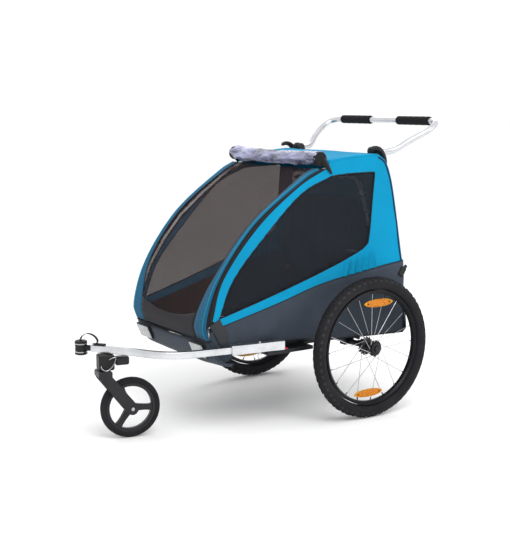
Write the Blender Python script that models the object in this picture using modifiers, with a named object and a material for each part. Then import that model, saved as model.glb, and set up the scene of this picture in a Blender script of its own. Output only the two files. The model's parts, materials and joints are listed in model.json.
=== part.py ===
"""Two-seat child bicycle trailer in its pushing set-up: a folding fabric cabin on two spoked wheels,
with a push bar, and a tow arm that carries a swivelling front wheel.

Metres, +Z up, the front towards -Y, the tow arm on the +X side. Inside this script Y is measured
from the wheel axle, and one empty then moves the whole trailer so that its box is centred on Y = 0.
"""

import math

import bmesh
import bpy
from mathutils import Matrix, Vector

# Driving dimensions
AXLE_Y = 0.29225  # from the box's centre to the wheel axle
GAP = 0.0003  # between neighbours that touch
SHEET = 0.002  # fabric and mesh thickness as modelled
TUBE_RADIUS = 0.011

WHEEL_RADIUS = 0.25
WHEEL_X = 0.3624  # centre plane of each big wheel
TYRE_SECTION = 0.0235
RIM_OUTER = 0.2026
RIM_INNER = 0.1905
RIM_HALF_WIDTH = 0.0135
SPOKE_COUNT = 20
SPOKE_RADIUS = 0.0012
SPOKE_RING = (0.1880, 0.1900)  # the thin hoop inside the rim that the spokes end in
HUB_INNER_X = 0.3280
HUB_OUTER_X = 0.3935
FLANGE_X = (0.3400, 0.3835)
FLANGE_RADIUS = 0.029
BRAKE_RING_ROOT = 0.0255
BRAKE_RING_RADIUS = 0.033
BRAKE_TEETH = 16
AXLE_RADIUS = 0.006
AXLE_BORE = 0.0066
BUTTON_RADIUS = 0.011

RAIL_X = 0.228
RAIL_Z = 0.272
BASE_FRONT_Y = -0.530
BASE_REAR_Y = 0.190
FRONT_HOOP_PIVOT = (0.0, -0.566, 0.290)
REAR_HOOP_PIVOT = (0.0, 0.190, 0.300)
HANDLE_PIVOT = (0.0, 0.114, 0.925)
SEAT_RECLINE = math.radians(8)

ARM_SIZE = 0.0225
ARM_Z = 0.291
RECEIVER_SIZE = 0.031
RECEIVER_WALL = 0.003
RECEIVER_REAR = Vector((0.3010, -0.335, ARM_Z))
RECEIVER_FRONT = Vector((0.2750, -0.530, ARM_Z))
ARM_PIN_SHARE = 0.55  # how far along the receiver the pin stands

CASTER_RADIUS = 0.1015
CASTER_SWIVEL = (0.0776, -0.8986)
CASTER_TRAIL = 0.090
CASTER_YAW = math.radians(-11.8)
CROWN_TOP = 0.2350

CABIN_HALF_WIDTH = 0.280  # at the wheel axle
TOE_IN = 0.05  # how fast each side plane closes in towards the front

PAINTED = {
    "silver": ((0.72, 0.73, 0.75), 0.30, 1.0),
    "dark_frame": ((0.09, 0.10, 0.11), 0.55, 0.0),
    "black_plastic": ((0.025, 0.025, 0.027), 0.50, 0.0),
    "dark_plastic": ((0.045, 0.046, 0.05), 0.45, 0.0),
    "tyre": ((0.035, 0.035, 0.037), 0.85, 0.0),
    "foam": ((0.03, 0.03, 0.032), 0.90, 0.0),
    "blue_fabric": ((0.01, 0.36, 0.62), 0.75, 0.0),
    "slate_fabric": ((0.075, 0.09, 0.115), 0.80, 0.0),
    "mesh_fabric": ((0.03, 0.028, 0.03), 0.85, 0.0),
    "navy_fabric": ((0.02, 0.035, 0.075), 0.85, 0.0),
    "clear_cover": ((0.45, 0.44, 0.60), 0.20, 0.0),
    "reflector_white": ((0.75, 0.76, 0.78), 0.15, 0.0),
    "amber": ((0.90, 0.32, 0.02), 0.20, 0.0),
    "webbing": ((0.03, 0.03, 0.032), 0.90, 0.0),
}


def half_width(y):
    """Half the cabin's width: it narrows a little towards the front."""
    return CABIN_HALF_WIDTH + TOE_IN * y


def catmull(points, steps):
    """Points along a smooth curve through the given ones."""
    ends = [2 * Vector(points[0]) - Vector(points[1]), 2 * Vector(points[-1]) - Vector(points[-2])]
    knots = [ends[0], *[Vector(p) for p in points], ends[1]]
    line = []
    for a, b, c, d in zip(knots, knots[1:], knots[2:], knots[3:]):
        for i in range(steps):
            t = i / steps
            line.append(0.5 * (2 * b + (c - a) * t + (2 * a - 5 * b + 4 * c - d) * t**2
                               + (3 * b - a - 3 * c + d) * t**3))
    return [*line, Vector(points[-1])]


# Side view of the cabin, as (y, z) curves from the axle and the ground
LOWER_FRONT = catmull([(-0.505, 0.226), (-0.552, 0.236), (-0.590, 0.292), (-0.598, 0.322)], 2)
SCREEN_LINE = catmull([(-0.5985, 0.3245), (-0.612, 0.385), (-0.560, 0.530), (-0.425, 0.702),
                       (-0.235, 0.839), (-0.166, 0.874)], 3)
ROOF_LINE = catmull([(-0.126, 0.901), (-0.030, 0.914), (0.086, 0.920)], 3)
REAR_LINE = catmull([(0.0875, 0.9185), (0.120, 0.898), (0.144, 0.845), (0.164, 0.760), (0.195, 0.590),
                     (0.205, 0.536)], 2)
CARGO_LINE = catmull([(0.2053, 0.533), (0.2145, 0.385), (0.228, 0.327), (0.236, 0.280), (0.222, 0.266)], 2)
BAND_LINE = catmull([(-0.584, 0.390), (-0.541, 0.525), (-0.408, 0.690), (-0.250, 0.815), (-0.137, 0.873)], 3)
WINDOW_FRONT = catmull([(-0.560, 0.394), (-0.505, 0.520), (-0.385, 0.656), (-0.240, 0.792),
                        (-0.113, 0.849)], 3)
WINDOW_BOTTOM = catmull([(0.045, 0.606), (0.000, 0.576), (-0.160, 0.516), (-0.380, 0.446),
                         (-0.555, 0.393)], 2)
WAIST_LINE = catmull([(-0.556, 0.367), (-0.330, 0.426), (-0.150, 0.478), (0.070, 0.515), (0.204, 0.533)], 2)
SKIRT_FRONT = catmull([(-0.545, 0.236), (-0.583, 0.290), (-0.596, 0.340), (-0.580, 0.372)], 2)
SKIRT_HEM = [(0.222, 0.268), (-0.050, 0.272), (-0.170, 0.274), (-0.225, 0.290), (-0.480, 0.290),
             (-0.515, 0.246)]


# Scene, collections, materials and parenting

def clear_scene():
    for old in list(bpy.data.objects):
        bpy.data.objects.remove(old, do_unlink=True)


def new_collection(name):
    made = bpy.data.collections.new(name)
    bpy.context.scene.collection.children.link(made)
    return made


clear_scene()
PARTS = new_collection("child_bicycle_trailer")
CUTTERS = new_collection("cutters")


def material(name):
    found = bpy.data.materials.get(name)
    if found:
        return found
    colour, roughness, metallic = PAINTED[name]
    made = bpy.data.materials.new(name)
    made.use_nodes = True
    shader = made.node_tree.nodes["Principled BSDF"]
    shader.inputs["Base Color"].default_value = (*colour, 1.0)
    shader.inputs["Roughness"].default_value = roughness
    shader.inputs["Metallic"].default_value = metallic
    made.diffuse_color = (*colour, 1.0)
    return made


def pivot(name, location, parent=None, turn=None):
    """An empty on a joint's axis. Pieces that hang from it keep the trailer's own coordinates."""
    empty = bpy.data.objects.new(name, None)
    PARTS.objects.link(empty)
    empty.location = location
    if turn:
        empty.rotation_euler = turn
    if parent:
        empty.parent = parent
        empty.matrix_parent_inverse = Matrix.Translation(-Vector(rest_place(parent)))
    return empty


def rest_place(empty):
    """An empty's place in the trailer's coordinates; the root empty counts as their origin."""
    return Vector((0, 0, 0)) if empty == ROOT else empty.location


def place(obj, finish, parent, own_frame=False):
    """Give a piece its material and parent. With own_frame its coordinates are the parent's."""
    for holder in list(obj.users_collection):
        holder.objects.unlink(obj)
    PARTS.objects.link(obj)
    own = material(finish).copy()
    own.name = obj.name + "_" + finish
    obj.data.materials.clear()
    obj.data.materials.append(own)
    obj.parent = parent
    if not own_frame:
        obj.matrix_parent_inverse = Matrix.Translation(-rest_place(parent))
    return obj


ROOT = pivot("trailer_origin", (0.0, AXLE_Y, 0.0))


# Shapes

UPRIGHT = Matrix(((0, 0, 1, 0), (1, 0, 0, 0), (0, 1, 0, 0), (0, 0, 0, 1)))  # a flat outline's X to Y, Y to Z


def object_from(bm, name):
    mesh = bpy.data.meshes.new(name)
    bm.to_mesh(mesh)
    bm.free()
    obj = bpy.data.objects.new(name, mesh)
    PARTS.objects.link(obj)
    return obj


def smooth(obj, degrees=35):
    obj.data.shade_smooth()
    obj.data.set_sharp_from_angle(angle=math.radians(degrees))
    return obj


def block(name, size, location, turn=(0, 0, 0), bevel=0.0):
    bm = bmesh.new()
    bmesh.ops.create_cube(bm, size=1.0)
    bmesh.ops.scale(bm, vec=size, verts=bm.verts)
    obj = object_from(bm, name)
    obj.location = location
    obj.rotation_euler = turn
    if bevel:
        edge = obj.modifiers.new("edges", "BEVEL")
        edge.width = bevel
        edge.segments = 1
    return obj


def rod(name, start, end, radius, sides=16, end_radius=None):
    """A round bar from one point to another, or a cone with its own end radius."""
    start, end = Vector(start), Vector(end)
    bm = bmesh.new()
    bmesh.ops.create_cone(bm, cap_ends=True, segments=sides, radius1=radius,
                          radius2=radius if end_radius is None else end_radius,
                          depth=(end - start).length)
    obj = object_from(bm, name)
    obj.location = (start + end) / 2
    obj.rotation_euler = (end - start).to_track_quat("Z", "Y").to_euler()
    return smooth(obj)


def tube(name, points, radius, square=False, sides_step=2):
    """A bent tube as a curve with filled ends; square gives a flat-sided bar."""
    curve = bpy.data.curves.new(name, "CURVE")
    curve.dimensions = "3D"
    curve.twist_mode = "Z_UP"
    curve.bevel_depth = radius * math.sqrt(2) if square else radius
    curve.bevel_resolution = 0 if square else sides_step
    curve.use_fill_caps = True
    spline = curve.splines.new("POLY")
    spline.points.add(len(points) - 1)
    for knot, place_at in zip(spline.points, points):
        knot.co = (*place_at, 1.0)
        knot.tilt = math.pi / 4 if square else 0.0
    spline.use_smooth = not square
    obj = bpy.data.objects.new(name, curve)
    PARTS.objects.link(obj)
    return obj


def as_mesh(obj):
    """The evaluated piece as a mesh object with welded ends, for Booleans."""
    bpy.context.view_layer.update()
    evaluated = obj.evaluated_get(bpy.context.evaluated_depsgraph_get())
    mesh = bpy.data.meshes.new_from_object(evaluated)
    bm = bmesh.new()
    bm.from_mesh(mesh)
    bmesh.ops.remove_doubles(bm, verts=bm.verts, dist=1e-6)
    bm.to_mesh(mesh)
    bm.free()
    name, world = obj.name, obj.matrix_world.copy()
    bpy.data.objects.remove(obj, do_unlink=True)
    made = bpy.data.objects.new(name, mesh)
    made.matrix_world = world
    PARTS.objects.link(made)
    return made


def combine(base, tools, operation):
    """Boolean the tools into or out of the base, and keep them as hidden guides."""
    for tool in tools:
        step = base.modifiers.new(operation.lower(), "BOOLEAN")
        step.operation = operation
        step.solver = "EXACT"
        step.object = tool
        tool.display_type = "WIRE"
        tool.hide_render = True
        for holder in list(tool.users_collection):
            holder.objects.unlink(tool)
        CUTTERS.objects.link(tool)
    return base


def hang_tools(base, parent, own_frame=False):
    """Cutters share their piece's parent, so that they move with it."""
    for step in base.modifiers:
        if step.type == "BOOLEAN":
            step.object.parent = parent
            if not own_frame:
                step.object.matrix_parent_inverse = Matrix.Translation(-rest_place(parent))


def turned(name, profile, steps, centre, facing=1):
    """A turned piece about an axis along X. The profile is (radius, distance along the axis)."""
    bm = bmesh.new()
    knots = [bm.verts.new((radius, 0.0, along)) for radius, along in profile]
    for a, b in zip(knots, knots[1:] + knots[:1]):
        bm.edges.new((a, b))
    obj = object_from(bm, name)
    obj.location = centre
    obj.rotation_euler = (0, facing * math.pi / 2, 0)
    turn = obj.modifiers.new("turn", "SCREW")
    turn.axis = "Z"
    turn.steps = turn.render_steps = steps
    turn.use_merge_vertices = True
    turn.merge_threshold = 0.00001
    turn.use_smooth_shade = True
    return obj


def sheet_plate(name, outline, side, holes=(), thickness=SHEET):
    """A flat panel on one side of the cabin: (y, z) outlines laid on the slightly toed-in side plane."""
    curve = bpy.data.curves.new(name, "CURVE")
    curve.dimensions = "2D"
    curve.fill_mode = "BOTH"
    curve.extrude = thickness / 2
    for loop in (outline, *holes):
        spline = curve.splines.new("POLY")
        spline.points.add(len(loop) - 1)
        for knot, (y, z) in zip(spline.points, loop):
            knot.co = (y * math.hypot(1, TOE_IN), z, 0.0, 1.0)
        spline.use_cyclic_u = True
    obj = bpy.data.objects.new(name, curve)
    PARTS.objects.link(obj)
    along = Vector((side * TOE_IN, 1.0, 0.0)).normalized()
    up = Vector((0, 0, 1))
    facing = along.cross(up)
    obj.matrix_world = Matrix.Translation((side * half_width(0), 0, 0)) @ Matrix(
        (along, up, facing)).transposed().to_4x4()
    return obj


def outline_plate(name, outline, thickness, matrix):
    """A flat piece from a closed outline, its own X and Y laid by the matrix."""
    curve = bpy.data.curves.new(name, "CURVE")
    curve.dimensions = "2D"
    curve.fill_mode = "BOTH"
    curve.extrude = thickness / 2
    spline = curve.splines.new("POLY")
    spline.points.add(len(outline) - 1)
    for knot, (a, b) in zip(spline.points, outline):
        knot.co = (a, b, 0.0, 1.0)
    spline.use_cyclic_u = True
    obj = bpy.data.objects.new(name, curve)
    PARTS.objects.link(obj)
    obj.matrix_world = matrix
    return obj


def loft(name, line, columns=6, inset=0.0016, sag=0.0, thickness=SHEET):
    """A fabric strip across the cabin that follows a side-view line; sag drops its top edge's middle."""
    bm = bmesh.new()
    rows = []
    for index, (y, z) in enumerate(line):
        reach = half_width(y) - inset
        drop = sag * index / (len(line) - 1)
        rows.append([bm.verts.new((reach * u, y, z - drop * (1 - u * u)))
                     for u in [2 * i / columns - 1 for i in range(columns + 1)]])
    for low, high in zip(rows, rows[1:]):
        for i in range(columns):
            bm.faces.new((low[i], low[i + 1], high[i + 1], high[i]))
    obj = object_from(bm, name)
    skin = obj.modifiers.new("thickness", "SOLIDIFY")
    skin.thickness = thickness
    skin.offset = 0.0
    return smooth(obj)


def capsule(start, end, start_radius, end_radius, steps=6):
    """The outline of a plate with two round ends, about two points in its plane."""
    start, end = Vector(start), Vector(end)
    heading = math.atan2(end.y - start.y, end.x - start.x)
    line = []
    for centre, radius, first in ((start, start_radius, heading + math.pi / 2),
                                  (end, end_radius, heading - math.pi / 2)):
        for i in range(steps + 1):
            angle = first + math.pi * i / steps
            line.append((centre.x + radius * math.cos(angle), centre.y + radius * math.sin(angle)))
    return line


def both_sides(build):
    """Build a piece on the left (+X) and on the right (-X)."""
    for side, word in ((1, "left"), (-1, "right")):
        build(side, word)


# Base frame

def base_rail(side, word):
    bent = [(side * RAIL_X, BASE_FRONT_Y, RAIL_Z), (side * RAIL_X, 0.0, RAIL_Z),
            (side * RAIL_X, BASE_REAR_Y, RAIL_Z)]
    place(tube("side_rail_" + word, bent, TUBE_RADIUS + 0.0005), "dark_frame", ROOT)


def base_frame():
    both_sides(base_rail)
    reach = half_width(-0.545) - 0.010
    front = rod("front_crossbar", (-reach, -0.545, 0.263), (reach, -0.545, 0.263), TUBE_RADIUS)
    place(front, "dark_frame", ROOT)
    inner = RAIL_X - TUBE_RADIUS - 0.0005 - GAP
    rear = rod("rear_crossbar", (-inner, 0.176, RAIL_Z), (inner, 0.176, RAIL_Z), TUBE_RADIUS)
    place(rear, "dark_frame", ROOT)
    floor_front, floor_rear = BASE_FRONT_Y + 0.002, BASE_REAR_Y - 0.002
    floor = block("floor_panel", (0.470, floor_rear - floor_front, 0.004),
                  (0, (floor_front + floor_rear) / 2, RAIL_Z + TUBE_RADIUS + 0.0005 + GAP + 0.002))
    place(floor, "slate_fabric", ROOT)


def axle_tube():
    """The cross tube with its clamps, brake-pin guides and the two stub axles, in one piece."""
    tube_end = HUB_INNER_X - 0.0015
    axle = rod("axle_tube", (-tube_end, 0, WHEEL_RADIUS), (tube_end, 0, WHEEL_RADIUS), 0.0100, 20)
    joined = [rod("stub_axle", (-0.3845, 0, WHEEL_RADIUS), (0.3845, 0, WHEEL_RADIUS), AXLE_RADIUS, 24)]
    for side in (1, -1):
        joined.append(block("axle_clamp", (0.030, 0.044, 0.022), (side * RAIL_X, 0, 0.2492), bevel=0.002))
        joined.append(block("pin_guide", (0.016, 0.040, 0.018), (side * 0.284, 0.022, WHEEL_RADIUS)))
    combine(axle, joined, "UNION")
    holes = [rod("pin_hole", (side * 0.27, BRAKE_PIN_Y, WHEEL_RADIUS), (side * 0.30, BRAKE_PIN_Y, WHEEL_RADIUS),
                 BRAKE_PIN_RADIUS + 2 * GAP) for side in (1, -1)]
    combine(axle, holes, "DIFFERENCE")
    place(axle, "dark_frame", ROOT)
    hang_tools(axle, ROOT)


# Parking brake: a pedal on a cross rod, and a pin at each wheel that it drives into the hub's ring

BRAKE_PIN_Y = 0.0305
BRAKE_PIN_RADIUS = 0.0030
BRAKE_ROD = (0.0, 0.075, 0.246)


def brake():
    rocker = pivot("brake_pedal_pivot", BRAKE_ROD, ROOT)
    _, y, z = BRAKE_ROD
    pedal = rod("brake_pedal", (-0.205, y, z), (0.205, y, z), 0.006, 12)
    arm = block("pedal_arm", (0.016, 0.150, 0.008), (0.07, y + 0.075, z - 0.006), turn=(-0.06, 0, 0))
    pad = block("pedal_pad", (0.090, 0.045, 0.010), (0.07, y + 0.152, z - 0.010), turn=(-0.06, 0, 0),
                bevel=0.003)
    combine(pedal, [arm, pad], "UNION")
    place(pedal, "black_plastic", rocker)
    hang_tools(pedal, rocker)

    def pin(side, word):
        slider = pivot("brake_pin_slide_" + word, (side * 0.284, BRAKE_PIN_Y, WHEEL_RADIUS), ROOT)
        bar = rod("brake_pin_" + word, (side * 0.262, BRAKE_PIN_Y, WHEEL_RADIUS),
                  (side * 0.3235, BRAKE_PIN_Y, WHEEL_RADIUS), BRAKE_PIN_RADIUS)
        place(bar, "silver", slider)

    both_sides(pin)


# Big wheels

def ring_profile(centre_radius, radius, sides):
    """A round section that runs down its outer side."""
    return [(centre_radius + radius * math.cos(a), -radius * math.sin(a))
            for a in [2 * math.pi * i / sides for i in range(sides)]]


def brake_ring(name):
    """The toothed ring on the hub's inner end: an outline of square teeth."""
    outline = []
    pitch = 2 * math.pi / BRAKE_TEETH
    tooth = 0.34 * pitch
    for i in range(BRAKE_TEETH):
        middle = (i + 0.5) * pitch
        for radius, angle in ((BRAKE_RING_ROOT, middle - 0.62 * tooth), (BRAKE_RING_RADIUS, middle - tooth / 2),
                              (BRAKE_RING_RADIUS, middle + tooth / 2), (BRAKE_RING_ROOT, middle + 0.62 * tooth)):
            outline.append((radius * math.cos(angle), radius * math.sin(angle)))
    return outline_plate(name, outline, 0.008, Matrix.Identity(4))


def spokes_mesh():
    """All the spokes of one wheel in one mesh; they stay apart until their hoop joins them.

    Built about an axis along Z, with the hub's inner end below. Spokes alternate between the two
    flanges and lean forwards on one and backwards on the other."""
    bm = bmesh.new()
    rim_reach = sum(SPOKE_RING) / 2
    root_radius = FLANGE_RADIUS + GAP + SPOKE_RADIUS
    for i in range(SPOKE_COUNT):
        flange = i % 2
        along = FLANGE_X[flange] - WHEEL_X
        lean = math.radians(50) * (1 if flange else -1)
        rim_angle = 2 * math.pi * i / SPOKE_COUNT
        hub_angle = rim_angle + lean
        low = Vector((root_radius * math.cos(hub_angle), root_radius * math.sin(hub_angle), along))
        high = Vector((rim_reach * math.cos(rim_angle), rim_reach * math.sin(rim_angle), 0.12 * along))
        matrix = Matrix.Translation((low + high) / 2) @ (high - low).to_track_quat("Z", "Y").to_matrix().to_4x4()
        bmesh.ops.create_cone(bm, cap_ends=True, segments=6, radius1=SPOKE_RADIUS, radius2=SPOKE_RADIUS,
                              depth=(high - low).length, matrix=matrix)
    return bm


def hub_profile():
    """The hub shell's section, down its outer side and back up its bore and button pocket."""
    inner, outer = HUB_INNER_X - WHEEL_X, HUB_OUTER_X - WHEEL_X
    low_flange, high_flange = (x - WHEEL_X for x in FLANGE_X)
    half = 0.0016
    pocket = BUTTON_RADIUS + 0.0005
    return [(pocket, outer), (0.0175, outer), (0.0200, outer - 0.002), (0.0200, high_flange + 0.0045),
            (0.0185, high_flange + half), (FLANGE_RADIUS, high_flange + half),
            (FLANGE_RADIUS, high_flange - half), (0.0150, high_flange - half - 0.003),
            (0.0150, low_flange + half + 0.003), (FLANGE_RADIUS, low_flange + half),
            (FLANGE_RADIUS, low_flange - half), (0.0220, low_flange - half), (0.0220, inner),
            (AXLE_BORE, inner), (AXLE_BORE, outer - 0.0085), (pocket, outer - 0.0085)]


REFLECTOR_OUTLINE = [(0.064, 0.0), (0.046, 0.0100), (0.020, 0.0140), (-0.020, 0.0140), (-0.046, 0.0100), (-0.064, 0.0),
                     (-0.046, -0.0100), (-0.020, -0.0140), (0.020, -0.0140), (0.046, -0.0100)]


def big_wheel(side, word):
    centre = (side * WHEEL_X, 0.0, WHEEL_RADIUS)
    spin = pivot("wheel_spin_" + word, centre, ROOT)
    tyre = turned("tyre_" + word, ring_profile(WHEEL_RADIUS - TYRE_SECTION, TYRE_SECTION, 12), 48, centre)
    place(tyre, "tyre", spin)
    rim_section = [(RIM_OUTER, RIM_HALF_WIDTH), (RIM_OUTER, -RIM_HALF_WIDTH), (RIM_OUTER - 0.006, -RIM_HALF_WIDTH),
                   (RIM_INNER, -0.006), (RIM_INNER, 0.006), (RIM_OUTER - 0.006, RIM_HALF_WIDTH)]
    place(turned("rim_" + word, rim_section, 48, centre), "black_plastic", spin)

    hub = turned("hub_" + word, hub_profile(), 24, centre, side)
    hub.modifiers["turn"].use_smooth_shade = False
    ring = as_mesh(brake_ring("brake_ring"))
    bore = rod("ring_bore", (0, 0, -0.01), (0, 0, 0.01), 0.0150, 24)
    combine(ring, [bore], "DIFFERENCE")
    ring = as_mesh(ring)
    ring.rotation_euler = hub.rotation_euler
    ring.location = Vector(centre) - Vector((side * (WHEEL_X - HUB_INNER_X - 0.0041), 0, 0))
    combine(hub, [ring], "UNION")
    place(hub, "black_plastic", spin)
    hang_tools(hub, spin)

    inside, outside = SPOKE_RING
    half = 0.0045
    wires = turned("spokes_" + word, [(outside, half), (outside, -half), (inside, -half), (inside, half)],
                   48, centre, side)
    lines = object_from(spokes_mesh(), "spoke_lines")
    lines.location, lines.rotation_euler = wires.location, wires.rotation_euler
    combine(wires, [lines], "UNION")
    place(wires, "silver", spin)
    hang_tools(wires, spin)

    for way, level in ((1, "upper"), (-1, "lower")):
        spot = Matrix.Translation((side * (WHEEL_X + 0.0125), way * 0.020, WHEEL_RADIUS + way * 0.158))
        lens = outline_plate("wheel_reflector_" + level + "_" + word, REFLECTOR_OUTLINE, 0.006, spot @ UPRIGHT)
        place(lens, "amber", spin)

    push = pivot("hub_button_slide_" + word, (side * HUB_OUTER_X, 0, WHEEL_RADIUS), spin)
    button = rod("hub_button_" + word, (side * (HUB_OUTER_X - 0.004), 0, WHEEL_RADIUS),
                 (side * 0.400, 0, WHEEL_RADIUS), BUTTON_RADIUS, 24, BUTTON_RADIUS - 0.0015)
    place(button, "dark_plastic", push)


# Folding hoops and push bar

def hoop_points(line, inset, corner):
    """A U of tube: up the right side along (y, z) points, round a corner, across and down the left."""
    side_points = [(half_width(y) - inset, y, z) for y, z in line]
    top_x, top_y, top_z = side_points[-1]
    _, before_y, before_z = side_points[-2]
    inward = Vector((0, top_y - before_y, top_z - before_z)).normalized()
    arc = []
    for i in range(1, 5):
        angle = math.pi / 2 * i / 4
        arc.append(tuple(Vector((top_x - corner * (1 - math.cos(angle)), top_y, top_z))
                         + inward * corner * math.sin(angle)))
    left = [*side_points, *arc]
    return [(-x, y, z) for x, y, z in left] + [(x, y, z) for x, y, z in reversed(left)]


def front_hoop(hinge):
    line = catmull([(-0.566, 0.279), (-0.592, 0.378), (-0.545, 0.520), (-0.413, 0.688), (-0.227, 0.824),
                    (-0.150, 0.862), (-0.020, 0.892), (0.030, 0.898)], 2)
    place(tube("front_hoop", hoop_points(line, 0.0145, 0.045), TUBE_RADIUS), "silver", hinge)


def rear_hoop(hinge):
    """The hoop behind the seat; its legs lean in a little towards the top."""
    foot = Vector((0.235, REAR_HOOP_PIVOT[1], REAR_HOOP_PIVOT[2] - 0.001))
    top = Vector((0.200, 0.080, 0.795))
    leg = [foot.lerp(top, share) for share in (0.0, 0.5, 0.95, 1.0)]
    points = hoop_points([(p.y, p.z) for p in leg], 0.0, 0.04)
    last = len(points) - 1
    route = []
    for index, (x, y, z) in enumerate(points):
        beside = leg[min(index, last - index, len(leg) - 1)]
        shift = half_width(beside.y) - beside.x
        route.append((x - math.copysign(shift, x), y, z))
    place(tube("rear_hoop", route, TUBE_RADIUS), "silver", hinge)


def handle_mount(side, word, hinge):
    """The black boss on the hoop's rear corner that the push bar tilts in."""
    _, y, z = HANDLE_PIVOT
    boss = rod("handle_mount_" + word, (side * 0.204, y, z), (side * 0.2215, y, z), 0.0155, 20, 0.0145)
    place(boss, "black_plastic", hinge)


PUSH_BAR_LEG = [(0.2340, 0.1310, 0.9200), (0.2530, 0.1890, 0.9300), (0.2830, 0.2380, 0.9640), (0.3090, 0.2900, 0.9950),
                (0.3050, 0.3300, 1.0195), (0.2720, 0.3520, 1.0285), (0.2200, 0.3560, 1.0300)]


def push_bar(hinge):
    _, y, z = HANDLE_PIVOT
    leg = catmull(PUSH_BAR_LEG, 3)
    route = [(-x, a, b) for x, a, b in leg] + [tuple(p) for p in reversed(leg)]
    bar = as_mesh(tube("push_bar", route, TUBE_RADIUS))
    joined = []
    for side in (1, -1):
        joined.append(rod("tilt_eye", (side * (0.2215 + GAP), y, z), (side * 0.2420, y, z), 0.0152, 20))
        start, end = [Vector((side * p[0], p[1], p[2])) for p in PUSH_BAR_LEG[:2]]
        joined.append(rod("sleeve", start, start.lerp(end, 0.97), 0.0132, 12))
    combine(bar, joined, "UNION")
    place(bar, "silver", hinge)
    hang_tools(bar, hinge)


def grip(side, word, hinge):
    """A foam sleeve on the crossbar; its bore clears the tube by a hair."""
    inner, outer = 0.0125, 0.0165
    along = 0.078, 0.253
    mid = sum(along) / 2
    half = (along[1] - along[0]) / 2
    section = [(outer - 0.002, half), (outer, half - 0.003), (outer, 0.003 - half), (outer - 0.002, -half),
               (inner, -half), (inner, half)]
    sleeve = turned("grip_" + word, section, 20, (side * mid, 0.3560, 1.0300))
    place(sleeve, "foam", hinge)


# Tow arm, hitch and front wheel

def along_receiver(distance):
    """A point on the receiver's axis, measured from its front mouth towards the front."""
    heading = (RECEIVER_FRONT - RECEIVER_REAR).normalized()
    return RECEIVER_FRONT + heading * distance


def receiver_turn():
    heading = RECEIVER_FRONT - RECEIVER_REAR
    return (0, 0, math.atan2(-heading.x, heading.y))


def tow_receiver():
    length = (RECEIVER_FRONT - RECEIVER_REAR).length
    middle = (RECEIVER_FRONT + RECEIVER_REAR) / 2
    hollow = RECEIVER_SIZE - 2 * RECEIVER_WALL
    case = block("tow_receiver", (RECEIVER_SIZE, length, RECEIVER_SIZE), middle, receiver_turn(), 0.0015)
    pin_at = along_receiver(-length * ARM_PIN_SHARE)
    cuts = [block("receiver_hollow", (hollow, length + 0.02, hollow), middle, receiver_turn()),
            rod("receiver_pin_hole", pin_at - Vector((0, 0, 0.03)), pin_at + Vector((0, 0, 0.03)), 0.0042)]
    combine(case, cuts, "DIFFERENCE")
    place(case, "silver", ROOT)
    hang_tools(case, ROOT)
    foot = block("receiver_bracket", (0.070, 0.190, 0.013), (0.2755, -0.3090, 0.2684), bevel=0.002)
    place(foot, "dark_frame", ROOT)


def arm_pin():
    """The locking pin with its wire ring, which is pulled out downwards."""
    length = (RECEIVER_FRONT - RECEIVER_REAR).length
    spot = along_receiver(-length * ARM_PIN_SHARE)
    slider = pivot("arm_pin_slide", spot, ROOT)
    half = RECEIVER_SIZE / 2
    pin = rod("arm_pin", spot + Vector((0, 0, half + 0.004)), spot - Vector((0, 0, half + 0.007)), 0.0036)
    head = rod("pin_head", spot - Vector((0, 0, half + 0.0005)), spot - Vector((0, 0, half + 0.009)), 0.0065)
    ring_line = [(spot.x + 0.011 * math.cos(a), spot.y, spot.z - half - 0.0145 + 0.011 * math.sin(a))
                 for a in [math.radians(60 + 18.0 * i) for i in range(17)]]
    ring = as_mesh(tube("pin_ring", ring_line, 0.0011))
    combine(pin, [head, ring], "UNION")
    place(pin, "silver", slider)
    hang_tools(pin, slider)


ARM_BEND = [(0.2600, -0.630, ARM_Z), (0.2530, -0.692, 0.2920), (0.2330, -0.745, 0.2940),
            (0.1980, -0.785, 0.2960), (0.1540, -0.817, 0.2980), (0.0760, -0.8760, 0.3000),
            (0.0285, -0.9110, 0.3005)]


def tow_arm(slider):
    tail = along_receiver(-0.115)
    line = [tail, along_receiver(0.02), *catmull(ARM_BEND, 2)]
    arm = as_mesh(tube("tow_arm", [tuple(p) for p in line], ARM_SIZE / 2, square=True))
    length = (RECEIVER_FRONT - RECEIVER_REAR).length
    pin_at = along_receiver(-length * ARM_PIN_SHARE)
    slot_middle = (pin_at + along_receiver(-0.135)) / 2
    slot_length = (pin_at - along_receiver(-0.135)).length + 0.009
    slot = block("pin_slot", (0.0090, slot_length, 0.05), slot_middle, receiver_turn())
    combine(arm, [slot], "DIFFERENCE")
    place(arm, "silver", slider)
    hang_tools(arm, slider)


def caster_bracket(slider):
    x, y = CASTER_SWIVEL
    top = 0.3000 - ARM_SIZE / 2 - 0.0012
    height = top - CROWN_TOP - GAP
    body = block("caster_bracket", (0.044, 0.052, height), (x, y + 0.010, CROWN_TOP + GAP + height / 2),
                 (0, 0, CASTER_YAW), 0.004)
    place(body, "black_plastic", slider)


def caster_lever(slider):
    """The release lever that stands out behind the bracket."""
    x, y = CASTER_SWIVEL
    hinge = pivot("caster_lever_pivot", (x + 0.009, y + 0.0415, 0.272), slider)
    lever = block("caster_lever", (0.030, 0.046, 0.028), (x + 0.0145, y + 0.0615, 0.263), (0, 0, CASTER_YAW), 0.004)
    place(lever, "dark_plastic", hinge)


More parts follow.
